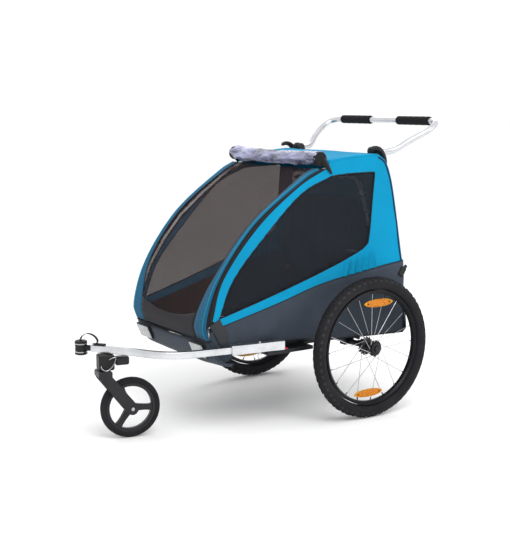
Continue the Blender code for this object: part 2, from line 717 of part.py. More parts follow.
def wire_bail(slider):
    """A springy wire that hangs round the bracket's outer face and keeps its lock pin in."""
    x, y = CASTER_SWIVEL
    hinge = pivot("wire_bail_pivot", (x + 0.030, y + 0.006, 0.274), slider)
    reach = [(0.0290, 0.010, 0.274), (0.0345, 0.020, 0.280), (0.0370, 0.030, 0.279), (0.0370, 0.024, 0.262),
             (0.0365, 0.012, 0.247), (0.0350, -0.002, 0.2395), (0.0335, -0.014, 0.243), (0.0315, -0.020, 0.251),
             (0.0290, -0.0185, 0.256)]
    line = catmull([(x + a, y + b, c) for a, b, c in reach], 3)
    place(tube("wire_bail", [tuple(p) for p in line], 0.0013, sides_step=1), "silver", hinge)


def fork(swivel):
    """Crown, two blades and the wheel's axle, in the swivel's own frame: +Y is the trailing way."""
    blade_x = 0.0300
    crown = block("caster_fork", (0.066, 0.046, 0.024), (0, 0.002, CROWN_TOP - 0.012), bevel=0.004)
    outline = capsule((0.0, CROWN_TOP - 0.0190), (CASTER_TRAIL, CASTER_RADIUS), 0.0185, 0.0200)
    tools = [as_mesh(outline_plate("blade", outline, 0.006, Matrix.Translation((side * blade_x, 0, 0)) @ UPRIGHT))
             for side in (1, -1)]
    tools.append(rod("caster_axle", (-0.036, CASTER_TRAIL, CASTER_RADIUS), (0.036, CASTER_TRAIL, CASTER_RADIUS),
                     0.0042))
    combine(crown, tools, "UNION")
    place(crown, "dark_plastic", swivel, own_frame=True)
    hang_tools(crown, swivel, own_frame=True)


def front_wheel(swivel):
    spin = pivot("caster_spin", (0, CASTER_TRAIL, CASTER_RADIUS))
    spin.parent = swivel
    tread = [(0.1015, 0.006), (0.1015, -0.006), (0.0985, -0.0125), (0.0920, -0.0160), (0.0824, -0.0150),
             (0.0824, 0.0150), (0.0920, 0.0160), (0.0985, 0.0125)]
    place(turned("caster_tyre", tread, 36, (0, 0, 0)), "tyre", spin, own_frame=True)
    hoop = [(0.0820, 0.0130), (0.0820, -0.0130), (0.0735, -0.0115), (0.0735, 0.0115)]
    wheel = turned("caster_rim", hoop, 36, (0, 0, 0))
    hub = rod("caster_hub", (-0.0245, 0, 0), (0.0245, 0, 0), 0.0170, 20)
    tools = [hub]
    for i in range(3):
        angle = math.radians(-5 + 120 * i)
        heading = Vector((0, math.cos(angle), math.sin(angle)))
        arm = block("caster_spoke", (0.016, 0.066, 0.019), heading * 0.0440, (angle, 0, 0))
        tools.append(arm)
    combine(wheel, tools, "UNION")
    combine(wheel, [rod("caster_bore", (-0.03, 0, 0), (0.03, 0, 0), 0.0046)], "DIFFERENCE")
    place(wheel, "dark_plastic", spin, own_frame=True)
    hang_tools(wheel, spin, own_frame=True)


HITCH_PIVOT = (0.0170, -0.9200, 0.3005)


def hitch(slider):
    """The flexible coupling that clips to the bicycle's axle, and its safety strap."""
    swing = pivot("hitch_pivot", HITCH_PIVOT, slider)
    end = Vector((-0.0040, -0.9360, 0.3005))
    coupling = rod("hitch_coupling", end - Vector((0, 0, 0.0235)), end + Vector((0, 0, 0.0235)), 0.0210, 24)
    neck = rod("hitch_neck", (0.0260, -0.9129, 0.3005), end, 0.0085, 16)
    bore = rod("hitch_bore", end - Vector((0, 0, 0.04)), end + Vector((0, 0, 0.04)), 0.0060, 16)
    combine(coupling, [neck], "UNION")
    combine(coupling, [bore], "DIFFERENCE")
    place(coupling, "black_plastic", swing)
    hang_tools(coupling, swing)

    path = catmull([(0.0000, 0.3275), (0.0080, 0.3390), (0.0240, 0.3480), (0.0420, 0.3470), (0.0560, 0.3390),
                    (0.0640, 0.3270), (0.0560, 0.3180), (0.0400, 0.3150), (0.0740, 0.3150)], 2)
    heading = Vector((0.801, 0.598, 0.0))
    start = Vector((-0.006, -0.9375, 0.0))
    across = Vector((0, 0, 1)).cross(heading) * 0.006
    bm = bmesh.new()
    rows = []
    for distance, height in path[:-3]:
        spot = start + heading * distance + Vector((0, 0, height))
        rows.append([bm.verts.new(spot - across), bm.verts.new(spot + across)])
    for low, high in zip(rows, rows[1:]):
        bm.faces.new((low[0], low[1], high[1], high[0]))
    strap = object_from(bm, "hitch_strap")
    skin = strap.modifiers.new("thickness", "SOLIDIFY")
    skin.thickness = 0.0016
    skin.offset = 0.0
    place(smooth(strap), "webbing", slider)


# Cabin fabric and seats

def side_cover(side, word):
    """The blue side cover, its dark window and the slate skirt below it."""
    top = [(-0.124, 0.898), *[(y, z - 0.0016) for y, z in ROOF_LINE[1:]]]
    rear = [(y - 0.0020, z) for y, z in REAR_LINE[1:]]
    waist = [(y, z + 0.0006) for y, z in reversed(WAIST_LINE)]
    outline = [*BAND_LINE, *top, *rear[:-1], *waist]
    window = [*WINDOW_FRONT, (-0.040, 0.854), (0.068, 0.856), (0.061, 0.758), (0.053, 0.660), *WINDOW_BOTTOM[:-1]]
    middle = Vector((sum(y for y, _ in window) / len(window), sum(z for _, z in window) / len(window)))

    def toward_middle(points, distance):
        return [tuple(Vector(p) + (middle - Vector(p)).normalized() * distance) for p in points]

    cover = sheet_plate("side_cover_" + word, outline, side, [window])
    place(cover, "blue_fabric", ROOT)
    pane = sheet_plate("side_window_" + word, toward_middle(window, 0.0012), side)
    place(pane, "mesh_fabric", ROOT)
    skirt_top = [(y, z - 0.0006) for y, z in WAIST_LINE]
    skirt_rear = [(y - 0.0020, z) for y, z in CARGO_LINE[1:-1]]
    skirt = sheet_plate("side_skirt_" + word, [*SKIRT_FRONT, *skirt_top, *skirt_rear, *SKIRT_HEM], side)
    place(skirt, "slate_fabric", ROOT)


def cabin():
    both_sides(side_cover)
    place(loft("front_panel", LOWER_FRONT, sag=0.014), "slate_fabric", ROOT)
    screen = loft("front_screen", SCREEN_LINE, inset=0.0005)
    place(screen, "mesh_fabric", ROOT)
    place(loft("roof_panel", ROOF_LINE), "blue_fabric", ROOT)
    place(loft("back_panel", REAR_LINE), "blue_fabric", ROOT)
    place(loft("cargo_panel", CARGO_LINE), "slate_fabric", ROOT)
    roll = rod("rain_cover_roll", (-0.271, -0.157, 0.9080), (0.271, -0.157, 0.9080), 0.0258, 16)
    place(roll, "clear_cover", ROOT)

    def reflector(side, word):
        lens = block("front_reflector_" + word, (0.086, 0.010, 0.056), (side * 0.1845, -0.5990, 0.2850),
                     (math.radians(24), 0, 0), 0.003)
        place(lens, "reflector_white", ROOT)

    both_sides(reflector)


def soft_block(name, size, location, turn=(0, 0, 0)):
    """A plain rounded cushion."""
    return block(name, size, location, turn, 0.012)


def seats():
    bench = soft_block("seat_base", (0.370, 0.300, 0.045), (0, -0.090, 0.3250), (math.radians(-6), 0, 0))
    place(bench, "navy_fabric", ROOT)
    back = soft_block("seat_back", (0.400, 0.030, 0.400), (0, 0.0200, 0.5650), (-SEAT_RECLINE, 0, 0))
    place(back, "navy_fabric", ROOT)

    def harness(side, word):
        spot = (side * 0.100, 0.0005, 0.5700)
        straps = block("harness_" + word, (0.120, 0.006, 0.300), spot, (-SEAT_RECLINE, 0, 0))
        gap = block("harness_gap", (0.072, 0.05, 0.250), spot, (-SEAT_RECLINE, 0, 0))
        combine(straps, [gap], "DIFFERENCE")
        place(straps, "webbing", ROOT)
        hang_tools(straps, ROOT)

    both_sides(harness)


def build_trailer():
    base_frame()
    axle_tube()
    brake()
    both_sides(big_wheel)
    fold_front = pivot("front_hoop_pivot", FRONT_HOOP_PIVOT, ROOT)
    fold_rear = pivot("rear_hoop_pivot", REAR_HOOP_PIVOT, ROOT)
    front_hoop(fold_front)
    rear_hoop(fold_rear)
    both_sides(lambda side, word: handle_mount(side, word, fold_front))
    tilt = pivot("handle_pivot", HANDLE_PIVOT, fold_front)
    push_bar(tilt)
    both_sides(lambda side, word: grip(side, word, tilt))
    tow_receiver()
    arm_pin()
    slider = pivot("tow_arm_slide", tuple(RECEIVER_FRONT), ROOT)
    tow_arm(slider)
    caster_bracket(slider)
    caster_lever(slider)
    wire_bail(slider)
    hitch(slider)
    swivel = pivot("caster_swivel", (*CASTER_SWIVEL, 0.0), slider, (0, 0, CASTER_YAW))
    fork(swivel)
    front_wheel(swivel)
    cabin()
    seats()


build_trailer()
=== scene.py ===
"""Looks of the two-seat child bicycle trailer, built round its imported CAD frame.

Shapes are given in the trailer's own coordinates, in metres: X to its left, Y back from the wheel
axle, Z up from the ground. Every mesh is moved by AXLE_Y as it is made, which is where the frame
has the axle.
"""

import json
import math

import bpy
from mathutils import Matrix, Vector, noise

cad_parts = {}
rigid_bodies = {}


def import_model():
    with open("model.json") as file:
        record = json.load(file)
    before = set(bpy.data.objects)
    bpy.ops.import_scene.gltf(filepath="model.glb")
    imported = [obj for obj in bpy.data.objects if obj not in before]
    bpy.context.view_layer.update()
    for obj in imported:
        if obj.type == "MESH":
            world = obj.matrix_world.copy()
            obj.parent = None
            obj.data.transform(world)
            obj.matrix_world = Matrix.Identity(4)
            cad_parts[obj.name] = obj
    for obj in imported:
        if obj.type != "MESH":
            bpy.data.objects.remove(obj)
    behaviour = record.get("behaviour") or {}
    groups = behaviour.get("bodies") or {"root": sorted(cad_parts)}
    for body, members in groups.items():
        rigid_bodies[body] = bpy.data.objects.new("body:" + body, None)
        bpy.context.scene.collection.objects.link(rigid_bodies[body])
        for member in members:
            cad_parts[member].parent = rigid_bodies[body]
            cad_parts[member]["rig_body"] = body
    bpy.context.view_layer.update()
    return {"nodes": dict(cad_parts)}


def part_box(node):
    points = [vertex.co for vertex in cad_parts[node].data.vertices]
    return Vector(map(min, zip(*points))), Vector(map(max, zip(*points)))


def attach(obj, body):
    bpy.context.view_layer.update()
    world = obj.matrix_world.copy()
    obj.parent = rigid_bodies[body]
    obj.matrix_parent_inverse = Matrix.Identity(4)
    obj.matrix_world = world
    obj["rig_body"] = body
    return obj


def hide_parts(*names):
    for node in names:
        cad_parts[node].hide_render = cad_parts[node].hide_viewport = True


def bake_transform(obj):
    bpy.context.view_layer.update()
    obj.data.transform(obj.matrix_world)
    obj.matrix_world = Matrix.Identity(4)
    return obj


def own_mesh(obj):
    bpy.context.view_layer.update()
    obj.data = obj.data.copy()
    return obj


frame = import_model()

tyre_low, tyre_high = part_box("tyre_left")
AXLE_Y = (tyre_low.y + tyre_high.y) / 2
WHEEL_RADIUS = (tyre_high.z - tyre_low.z) / 2
WHEEL_X = (tyre_low.x + tyre_high.x) / 2
TYRE_SECTION = (tyre_high.x - tyre_low.x) / 2

CLOTH = 0.0012  # thickness of the cover fabric
MESH_CLOTH = 0.0006  # thickness of the see-through mesh
CAMERA_PLACE = Vector((3.2306, -2.4395, 1.1027))
CAMERA_TARGET = Vector((-0.3615, 0.0, 0.4048))
CAMERA_LENS = 71.16


def half_width(y):
    """Half the cabin's width: it narrows a little towards the front."""
    return 0.28 + 0.05 * y


# Materials

def shader_of(name, colour, roughness, metallic=0.0, **sockets):
    """A new material; sockets are further Principled inputs, given with _ for a space."""
    made = bpy.data.materials.new(name)
    made.use_nodes = True
    shader = made.node_tree.nodes["Principled BSDF"]
    shader.inputs["Base Color"].default_value = (*colour, 1.0)
    shader.inputs["Roughness"].default_value = roughness
    shader.inputs["Metallic"].default_value = metallic
    for socket, value in sockets.items():
        shader.inputs[socket.replace("_", " ")].default_value = value
    return made, made.node_tree, shader


def add(tree, kind, inputs=(), **settings):
    """A node with its settings; inputs are (socket, value or the node output that feeds it) pairs."""
    node = tree.nodes.new(kind)
    for key, value in settings.items():
        setattr(node, key, value)
    for socket, value in inputs:
        if isinstance(value, bpy.types.NodeSocket):
            tree.links.new(value, node.inputs[socket])
        else:
            node.inputs[socket].default_value = value
    return node


def place_of(tree, kind="Object"):
    return add(tree, "ShaderNodeTexCoord").outputs[kind]


def noise_of(tree, where, scale, detail=3.0, roughness=0.55):
    return add(tree, "ShaderNodeTexNoise", [("Vector", where), ("Scale", scale), ("Detail", detail),
                                             ("Roughness", roughness)]).outputs["Fac"]


def blend_colours(tree, factor, low, high, start=0.0, end=1.0):
    ramp = add(tree, "ShaderNodeValToRGB", [("Fac", factor)])
    ramp.color_ramp.elements[0].position, ramp.color_ramp.elements[1].position = start, end
    ramp.color_ramp.elements[0].color = (*low, 1.0)
    ramp.color_ramp.elements[1].color = (*high, 1.0)
    return ramp.outputs["Color"]


def levels(tree, factor, low, high):
    made = add(tree, "ShaderNodeMapRange", [("Value", factor), ("To Min", low), ("To Max", high)])
    return made.outputs["Result"]


def bump(tree, shader, height, distance, strength=1.0, under=None):
    inputs = [("Height", height), ("Distance", distance), ("Strength", strength)]
    if under is not None:
        inputs.append(("Normal", under))
    made = add(tree, "ShaderNodeBump", inputs).outputs["Normal"]
    tree.links.new(made, shader.inputs["Normal"])
    return made


def tinted(colour, share):
    return tuple(min(1.0, c * share) for c in colour)


def weave_height(tree, where, pitch):
    """Warp and weft threads that cross in squares of the given pitch."""
    threads = [add(tree, "ShaderNodeTexWave", [("Vector", where), ("Scale", math.pi / 10 / pitch)],
                   bands_direction=axis).outputs["Fac"] for axis in ("X", "Y")]
    return add(tree, "ShaderNodeMath", [(0, threads[0]), (1, threads[1])], operation="MULTIPLY").outputs[0]


def woven(name, colour, pitch, roughness=0.8, depth=0.0003, uneven=0.1, sheen=0.08, gloss=0.18):
    """Woven cloth: threads, slight colour drift, and rumples too small to model."""
    made, tree, shader = shader_of(name, colour, roughness, Sheen_Weight=sheen, Sheen_Roughness=0.5,
                                   Specular_IOR_Level=gloss)
    cloth = place_of(tree, "UV")
    threads = weave_height(tree, cloth, pitch)
    drift = noise_of(tree, place_of(tree), 5.0, 4.0)
    shade = blend_colours(tree, drift, tinted(colour, 1 - uneven), tinted(colour, 1 + uneven), 0.3, 0.7)
    lit = add(tree, "ShaderNodeMix", [("Factor", levels(tree, threads, 0.0, 0.22)), ("A", shade),
                                      ("B", (*tinted(colour, 0.55), 1.0))], data_type="RGBA")
    tree.links.new(colour_output(lit), shader.inputs["Base Color"])
    rumple = bump(tree, shader, noise_of(tree, place_of(tree), 55.0, 3.0), 0.0006, 0.35)
    bump(tree, shader, threads, depth, 0.5, rumple)
    tree.links.new(levels(tree, drift, roughness - 0.06, roughness + 0.06), shader.inputs["Roughness"])
    return made


def colour_output(mix):
    """The colour result of a Mix node, whose other results share its name."""
    return next(s for s in mix.outputs if s.type == "RGBA")


def see_through_mesh(name, colour, cover, pitch):
    """Insect mesh: fine threads that hide a share of what is behind them."""
    made, tree, shader = shader_of(name, colour, 0.85, Specular_IOR_Level=0.1)
    cloth = place_of(tree, "UV")
    threads = weave_height(tree, cloth, pitch)
    drift = noise_of(tree, place_of(tree), 3.0)
    hidden = add(tree, "ShaderNodeMath", [(0, levels(tree, threads, cover - 0.05, cover + 0.05)),
                                          (1, levels(tree, drift, 0.97, 1.03))], operation="MULTIPLY")
    tree.links.new(hidden.outputs[0], shader.inputs["Alpha"])
    shade = blend_colours(tree, drift, tinted(colour, 0.85), tinted(colour, 1.15), 0.3, 0.7)
    tree.links.new(shade, shader.inputs["Base Color"])
    bump(tree, shader, threads, 0.0002, 0.4)
    return made


def moulded(name, colour, roughness=0.48, grain=260.0, depth=0.00012, worn=0.25):
    """Moulded plastic with a fine spark-eroded grain and rubbed patches."""
    made, tree, shader = shader_of(name, colour, roughness, Specular_IOR_Level=0.28)
    where = place_of(tree)
    patches = noise_of(tree, where, 14.0, 5.0)
    shade = blend_colours(tree, patches, tinted(colour, 1 - worn * 0.5), tinted(colour, 1 + worn), 0.35, 0.75)
    tree.links.new(shade, shader.inputs["Base Color"])
    tree.links.new(levels(tree, patches, roughness - 0.1, roughness + 0.1), shader.inputs["Roughness"])
    bump(tree, shader, noise_of(tree, where, grain, 2.0), depth, 0.6)
    return made


def metal(name, colour, roughness, brush=(1.0, 1.0, 1.0), scale=60.0):
    """Bare or anodised metal with drawn lines along one direction and small marks."""
    made, tree, shader = shader_of(name, colour, roughness, 1.0)
    stretched = add(tree, "ShaderNodeMapping", [("Vector", place_of(tree)), ("Scale", brush)])
    lines = noise_of(tree, stretched.outputs["Vector"], scale, 4.0, 0.7)
    marks = noise_of(tree, place_of(tree), 25.0, 5.0)
    tree.links.new(levels(tree, lines, roughness - 0.09, roughness + 0.12), shader.inputs["Roughness"])
    tree.links.new(blend_colours(tree, marks, tinted(colour, 0.86), tinted(colour, 1.05), 0.3, 0.65),
                   shader.inputs["Base Color"])
    bump(tree, shader, lines, 0.00005, 0.35)
    return made


def rubber(name, colour):
    made, tree, shader = shader_of(name, colour, 0.82, Specular_IOR_Level=0.18)
    where = place_of(tree)
    dust = noise_of(tree, where, 9.0, 6.0, 0.65)
    tree.links.new(blend_colours(tree, dust, tinted(colour, 0.8), tinted(colour, 1.7), 0.42, 0.78),
                   shader.inputs["Base Color"])
    tree.links.new(levels(tree, dust, 0.72, 0.92), shader.inputs["Roughness"])
    bump(tree, shader, noise_of(tree, where, 330.0, 2.0), 0.00015, 0.5)
    return made


def foam(name, colour):
    made, tree, shader = shader_of(name, colour, 0.95, Sheen_Weight=0.04, Specular_IOR_Level=0.15)
    where = place_of(tree)
    cells = add(tree, "ShaderNodeTexVoronoi", [("Vector", where), ("Scale", 420.0)]).outputs["Distance"]
    tree.links.new(blend_colours(tree, noise_of(tree, where, 40.0), tinted(colour, 0.8), tinted(colour, 1.3)),
                   shader.inputs["Base Color"])
    bump(tree, shader, cells, 0.0003, 0.5)
    return made


def lens(name, colour, deep, pitch, clear=0.25):
    """A moulded reflector: a gloss face over rows of prisms."""
    made, tree, shader = shader_of(name, colour, 0.12, Transmission_Weight=clear, Coat_Weight=0.08,
                                   Coat_Roughness=0.05, Specular_IOR_Level=0.22)
    cells = add(tree, "ShaderNodeTexVoronoi", [("Vector", place_of(tree)), ("Scale", 1 / pitch)],
                distance="CHEBYCHEV").outputs["Distance"]
    tree.links.new(blend_colours(tree, cells, colour, deep, 0.05, 0.75), shader.inputs["Base Color"])
    bump(tree, shader, cells, 0.0012, 0.7)
    return made


def vinyl(name, colour):
    """The clear rain cover's sheet, rolled up: crinkled, glossy and part see-through, with painted highlights
    and painted shade in its colour.
    """
    made, tree, shader = shader_of(name, colour, 0.1, Transmission_Weight=0.25, Coat_Weight=0.7,
                                   Coat_Roughness=0.04, IOR=1.46)
    where = add(tree, "ShaderNodeMapping", [("Vector", place_of(tree)), ("Scale", (0.3, 1.0, 1.0))])
    warp = noise_of(tree, where.outputs["Vector"], 26.0, 5.0, 0.6)
    cells = add(tree, "ShaderNodeTexVoronoi", [("Vector", where.outputs["Vector"]), ("Scale", 46.0)],
                feature="F1").outputs["Distance"]
    folds = add(tree, "ShaderNodeMath", [(0, warp), (1, cells)], operation="ADD").outputs[0]
    # The colour runs from about a quarter to twice the base with the crinkle noise: painted white highlights
    # streaking along the roll and painted shade in its folds.
    tree.links.new(blend_colours(tree, warp, tinted(colour, 0.24), tinted(colour, 2.1), 0.38, 0.66),
                   shader.inputs["Base Color"])
    bump(tree, shader, folds, 0.006, 0.9)
    return made


BLUE = woven("cover_blue", (0.0005, 0.238, 0.43), 0.0011, sheen=0.02, gloss=0.1)
# The front border is the cover's blue fabric made darker: painted shade for a face turned away from the key
# light.
SHADED_BORDER_BLUE = woven("border_blue_painted_shade", (0.002, 0.085, 0.165), 0.0011)
# The front piping is also the cover blue made a little darker: painted shade on the front-facing strip.
PIPING = woven("piping_blue", (0.006, 0.21, 0.35), 0.0009)
CHARCOAL = woven("cover_charcoal", (0.011, 0.01, 0.014), 0.0011, 0.8)
DEEP_BLUE = woven("binding_deep_blue", (0.003, 0.03, 0.08), 0.0009)
SLATE = woven("cover_slate", (0.036, 0.047, 0.065), 0.0013, 0.85, uneven=0.22)
BLACK_TAPE = woven("tape_black", (0.008, 0.008, 0.01), 0.001, 0.7)
WEBBING = woven("webbing_black", (0.008, 0.008, 0.009), 0.0016, 0.75, 0.0005)
NAVY = woven("seat_navy", (0.014, 0.022, 0.045), 0.0014, 0.9, uneven=0.15)
SCREEN = see_through_mesh("screen_mesh", (0.034, 0.019, 0.017), 0.37, 0.0016)
PANE = see_through_mesh("window_mesh", (0.017, 0.02, 0.025), 0.61, 0.0016)
ALUMINIUM = metal("aluminium_tube", (0.6, 0.61, 0.63), 0.27, (1.0, 0.15, 1.0))
BRIGHT_STEEL = metal("steel_wire", (0.42, 0.42, 0.44), 0.26)
DARK_FRAME = metal("frame_coated", (0.035, 0.037, 0.04), 0.42)
BLACK_PLASTIC = moulded("plastic_black", (0.007, 0.007, 0.008))
GREY_PLASTIC = moulded("plastic_charcoal", (0.012, 0.012, 0.014), 0.4)
TAB_PLASTIC = moulded("plastic_grey", (0.02, 0.021, 0.025), 0.6)
RED_PLASTIC = moulded("plastic_red", (0.5, 0.01, 0.03), 0.4)
RUBBER = rubber("tyre_rubber", (0.011, 0.011, 0.013))
WORN_RUBBER = rubber("tyre_shoulder", (0.022, 0.022, 0.025))
RIM_BLACK = metal("rim_black", (0.02, 0.02, 0.023), 0.4)
FOAM = foam("grip_foam", (0.009, 0.009, 0.01))
AMBER = lens("amber_prisms", (0.66, 0.25, 0.001), (0.36, 0.075, 0.001), 0.0042, 0.05)
AMBER_RIM = lens("amber_rim", (0.7, 0.35, 0.003), (0.52, 0.21, 0.002), 0.008, 0.05)
CLEAR_PRISMS = lens("clear_prisms", (0.62, 0.64, 0.64), (0.3, 0.31, 0.33), 0.005, 0.1)
VINYL = vinyl("rain_vinyl", (0.3, 0.31, 0.56))


# Meshes

SIDES = ((1, "left"), (-1, "right"))


def angles(count):
    """Equal steps round a full turn, in radians."""
    return [2 * math.pi * i / count for i in range(count)]


def cad_place(node):
    """Centre of a CAD node in the trailer's own coordinates, and its size."""
    low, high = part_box(node)
    return (low + high) / 2 - Vector((0, AXLE_Y, 0)), high - low


def capped(points, faces, count):
    """The faces of a stack of rings, with its first and last rings of count points filled in."""
    return [*faces, tuple(reversed(range(count))), tuple(len(points) - count + i for i in range(count))]


def catmull(points, steps):
    """Points along a smooth curve through the given ones."""
    knots = [Vector(p) for p in points]
    knots = [2 * knots[0] - knots[1], *knots, 2 * knots[-1] - knots[-2]]
    line = []
    for a, b, c, d in zip(knots, knots[1:], knots[2:], knots[3:]):
        for i in range(steps):
            t = i / steps
            line.append(0.5 * (2 * b + (c - a) * t + (2 * a - 5 * b + 4 * c - d) * t**2
                               + (3 * b - a - 3 * c + d) * t**3))
    return [*line, knots[-2]]


def resample(line, count):
    """The line cut into count equal lengths."""
    line = [Vector(p) for p in line]
    lengths = [0.0]
    for a, b in zip(line, line[1:]):
        lengths.append(lengths[-1] + (b - a).length)
    spots, index = [], 0
    for i in range(count + 1):
        want = lengths[-1] * i / count
        while index < len(line) - 2 and lengths[index + 1] < want:
            index += 1
        run = lengths[index + 1] - lengths[index]
        spots.append(line[index].lerp(line[index + 1], (want - lengths[index]) / run if run else 0.0))
    return spots


def coons(low, high, start, end, columns, rows):
    """A grid inside four curves: low and high run from start to end, start and end from low to high."""
    low, high = resample(low, columns), resample(high, columns)
    start, end = resample(start, rows), resample(end, rows)
    grid = []
    for j in range(rows + 1):
        v = j / rows
        row = []
        for i in range(columns + 1):
            u = i / columns
            ruled = low[i] * (1 - v) + high[i] * v + start[j] * (1 - u) + end[j] * u
            corners = (low[0] * (1 - u) + low[-1] * u) * (1 - v) + (high[0] * (1 - u) + high[-1] * u) * v
            row.append(ruled - corners)
        grid.append(row)
    return grid


def mesh_piece(name, points, faces, material, body, slot, replaces=(), cloth_places=None, smooth=True):
    """A mesh object in the frame that rides on its body; cloth_places are its UVs in metres."""
    mesh = bpy.data.meshes.new(name)
    mesh.from_pydata([(p[0], p[1] + AXLE_Y, p[2]) for p in points], [], faces)
    layer = mesh.uv_layers.new(name="cloth")
    for loop in mesh.loops:
        if cloth_places:
            layer.data[loop.index].uv = cloth_places[loop.vertex_index]
        else:
            spot = points[loop.vertex_index]
            layer.data[loop.index].uv = (spot[0] + spot[1], spot[2])
    mesh.materials.append(material)
    obj = bpy.data.objects.new(name, mesh)
    bpy.context.scene.collection.objects.link(obj)
    if smooth:
        mesh.shade_smooth()
        mesh.set_sharp_from_angle(angle=math.radians(42))
    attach(obj, body)
    if replaces:
        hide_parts(*replaces)
    return obj


def grid_faces(rows, columns, close_rows=False, close_columns=False, first=0):
    faces = []
    for j in range(rows if close_rows else rows - 1):
        for i in range(columns if close_columns else columns - 1):
            a, b = j * columns + i, j * columns + (i + 1) % columns
            over = ((j + 1) % rows) * columns
            faces.append((first + a, first + b, first + over + (i + 1) % columns, first + over + i))
    return faces


def grid_places(grid):
    """UVs in metres: how far each point lies along its own row and its own column."""
    across = []
    for row in grid:
        along = [0.0]
        for a, b in zip(row, row[1:]):
            along.append(along[-1] + (Vector(b) - Vector(a)).length)
        across.append([x - along[-1] / 2 for x in along])
    places, down = [], [0.0] * len(grid[0])
    for j, row in enumerate(grid):
        if j:
            down = [d + (Vector(p) - Vector(q)).length for d, p, q in zip(down, row, grid[j - 1])]
        places += list(zip(across[j], down))
    return places


LEAST_SHARE = 0.3


def sheet_piece(name, grid, material, slot, replaces=(), folds=True,
                thickness=CLOTH, close=False):
    """A cloth from a grid of points; the size of its own grid, or of its outline if a ring, is worked out but
    not used.
    """
    points = [p for row in grid for p in row]
    faces = grid_faces(len(grid), len(grid[0]), close_rows=close)
    obj = mesh_piece(name, points, faces, material, "chassis", slot, replaces, grid_places(grid))
    skin = obj.modifiers.new("thickness", "SOLIDIFY")
    skin.thickness = thickness
    skin.offset = 0.0
    area = sum(face.area for face in obj.data.polygons)
    low = Vector(min(p[k] for p in points) for k in range(3))
    high = Vector(max(p[k] for p in points) for k in range(3))
    if close:
        flat = (high.y - low.y, high.z - low.z)
    else:
        places = grid_places(grid)
        flat = (max(u for u, _ in places) - min(u for u, _ in places), max(v for _, v in places))
    flat = tuple(round(max(side, 0.012) + 0.0005, 3) for side in flat)
    whole = flat[0] * flat[1]
    area = max(min(area, whole), LEAST_SHARE * whole)
    return folding(obj) if folds else obj


def folding(obj):
    """Gives a soft piece its own copy of its mesh data."""
    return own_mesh(obj)


def frames_along(line):
    """Each point of a line with two directions across it that don't twist."""
    line = [Vector(p) for p in line]
    last = len(line) - 1
    headings = [(line[min(i + 1, last)] - line[max(i - 1, 0)]).normalized() for i in range(last + 1)]
    up = Vector((0, 0, 1)) if abs(headings[0].z) < 0.9 else Vector((0, 1, 0))
    side = headings[0].cross(up).normalized()
    found = []
    for spot, heading in zip(line, headings):
        side = (side - heading * side.dot(heading)).normalized()
        found.append((spot, side, side.cross(heading)))
    return found


def circle(radius, sides=14, stretch=1.0):
    return [(radius * math.cos(angle), stretch * radius * math.sin(angle)) for angle in angles(sides)]


def rounded_box(width, height, corner, steps=4):
    """A rectangle's outline with round corners."""
    outline = []
    for turn, (x, y) in enumerate(((1, 1), (-1, 1), (-1, -1), (1, -1))):
        for i in range(steps + 1):
            angle = math.pi / 2 * (turn + i / steps)
            outline.append((x * (width / 2 - corner) + corner * math.cos(angle),
                            y * (height / 2 - corner) + corner * math.sin(angle)))
    return outline


def sweep(line, section, scales=None, closed=False):
    """Points and faces of a section carried along a line, with ends filled unless it closes."""
    found = frames_along(line)
    points = []
    for index, (spot, side, up) in enumerate(found):
        share = scales[index] if scales else 1.0
        points += [spot + side * (a * share) + up * (b * share) for a, b in section]
    faces = grid_faces(len(found), len(section), close_rows=closed, close_columns=True)
    return points, faces if closed else capped(points, faces, len(section))


def joined(parts):
    """Several (points, faces) pairs as one."""
    points, faces = [], []
    for more_points, more_faces in parts:
        faces += [tuple(i + len(points) for i in face) for face in more_faces]
        points += list(more_points)
    return points, faces


def turned(profile, steps, matrix, closed_profile=True):
    """A (radius, along) profile turned about the matrix's Z axis."""
    points = []
    for angle in angles(steps):
        points += [matrix @ Vector((r * math.cos(angle), r * math.sin(angle), along)) for r, along in profile]
    return points, grid_faces(steps, len(profile), close_rows=True, close_columns=closed_profile)


def rounded_block(size, matrix, corner):
    """A box with soft edges: a rounded outline in X and Y that pulls in at both ends."""
    width, depth, height = size
    steps = 3
    layers = set()
    for i in range(steps + 1):
        angle = math.pi / 2 * i / steps
        z, pull = -height / 2 + corner * (1 - math.sin(angle)), corner * (1 - math.cos(angle))
        layers |= {(z, pull), (-z, pull)}
    points = []
    for z, pull in sorted(layers):
        for x, y in rounded_box(width - 2 * pull, depth - 2 * pull, max(corner - pull, 0.0004)):
            points.append(matrix @ Vector((x, y, z)))
    count = len(points) // len(layers)
    return points, capped(points, grid_faces(len(layers), count, close_columns=True), count)


def facing(spot, axis, up=(0, 0, 1)):
    """A matrix at a spot whose Z runs along the axis and whose Y leans towards up."""
    z = Vector(axis).normalized()
    x = Vector(up).cross(z)
    x = x.normalized() if x.length > 1e-6 else Vector((1, 0, 0))
    return Matrix.Translation(spot) @ Matrix((x, z.cross(x), z)).transposed().to_4x4()


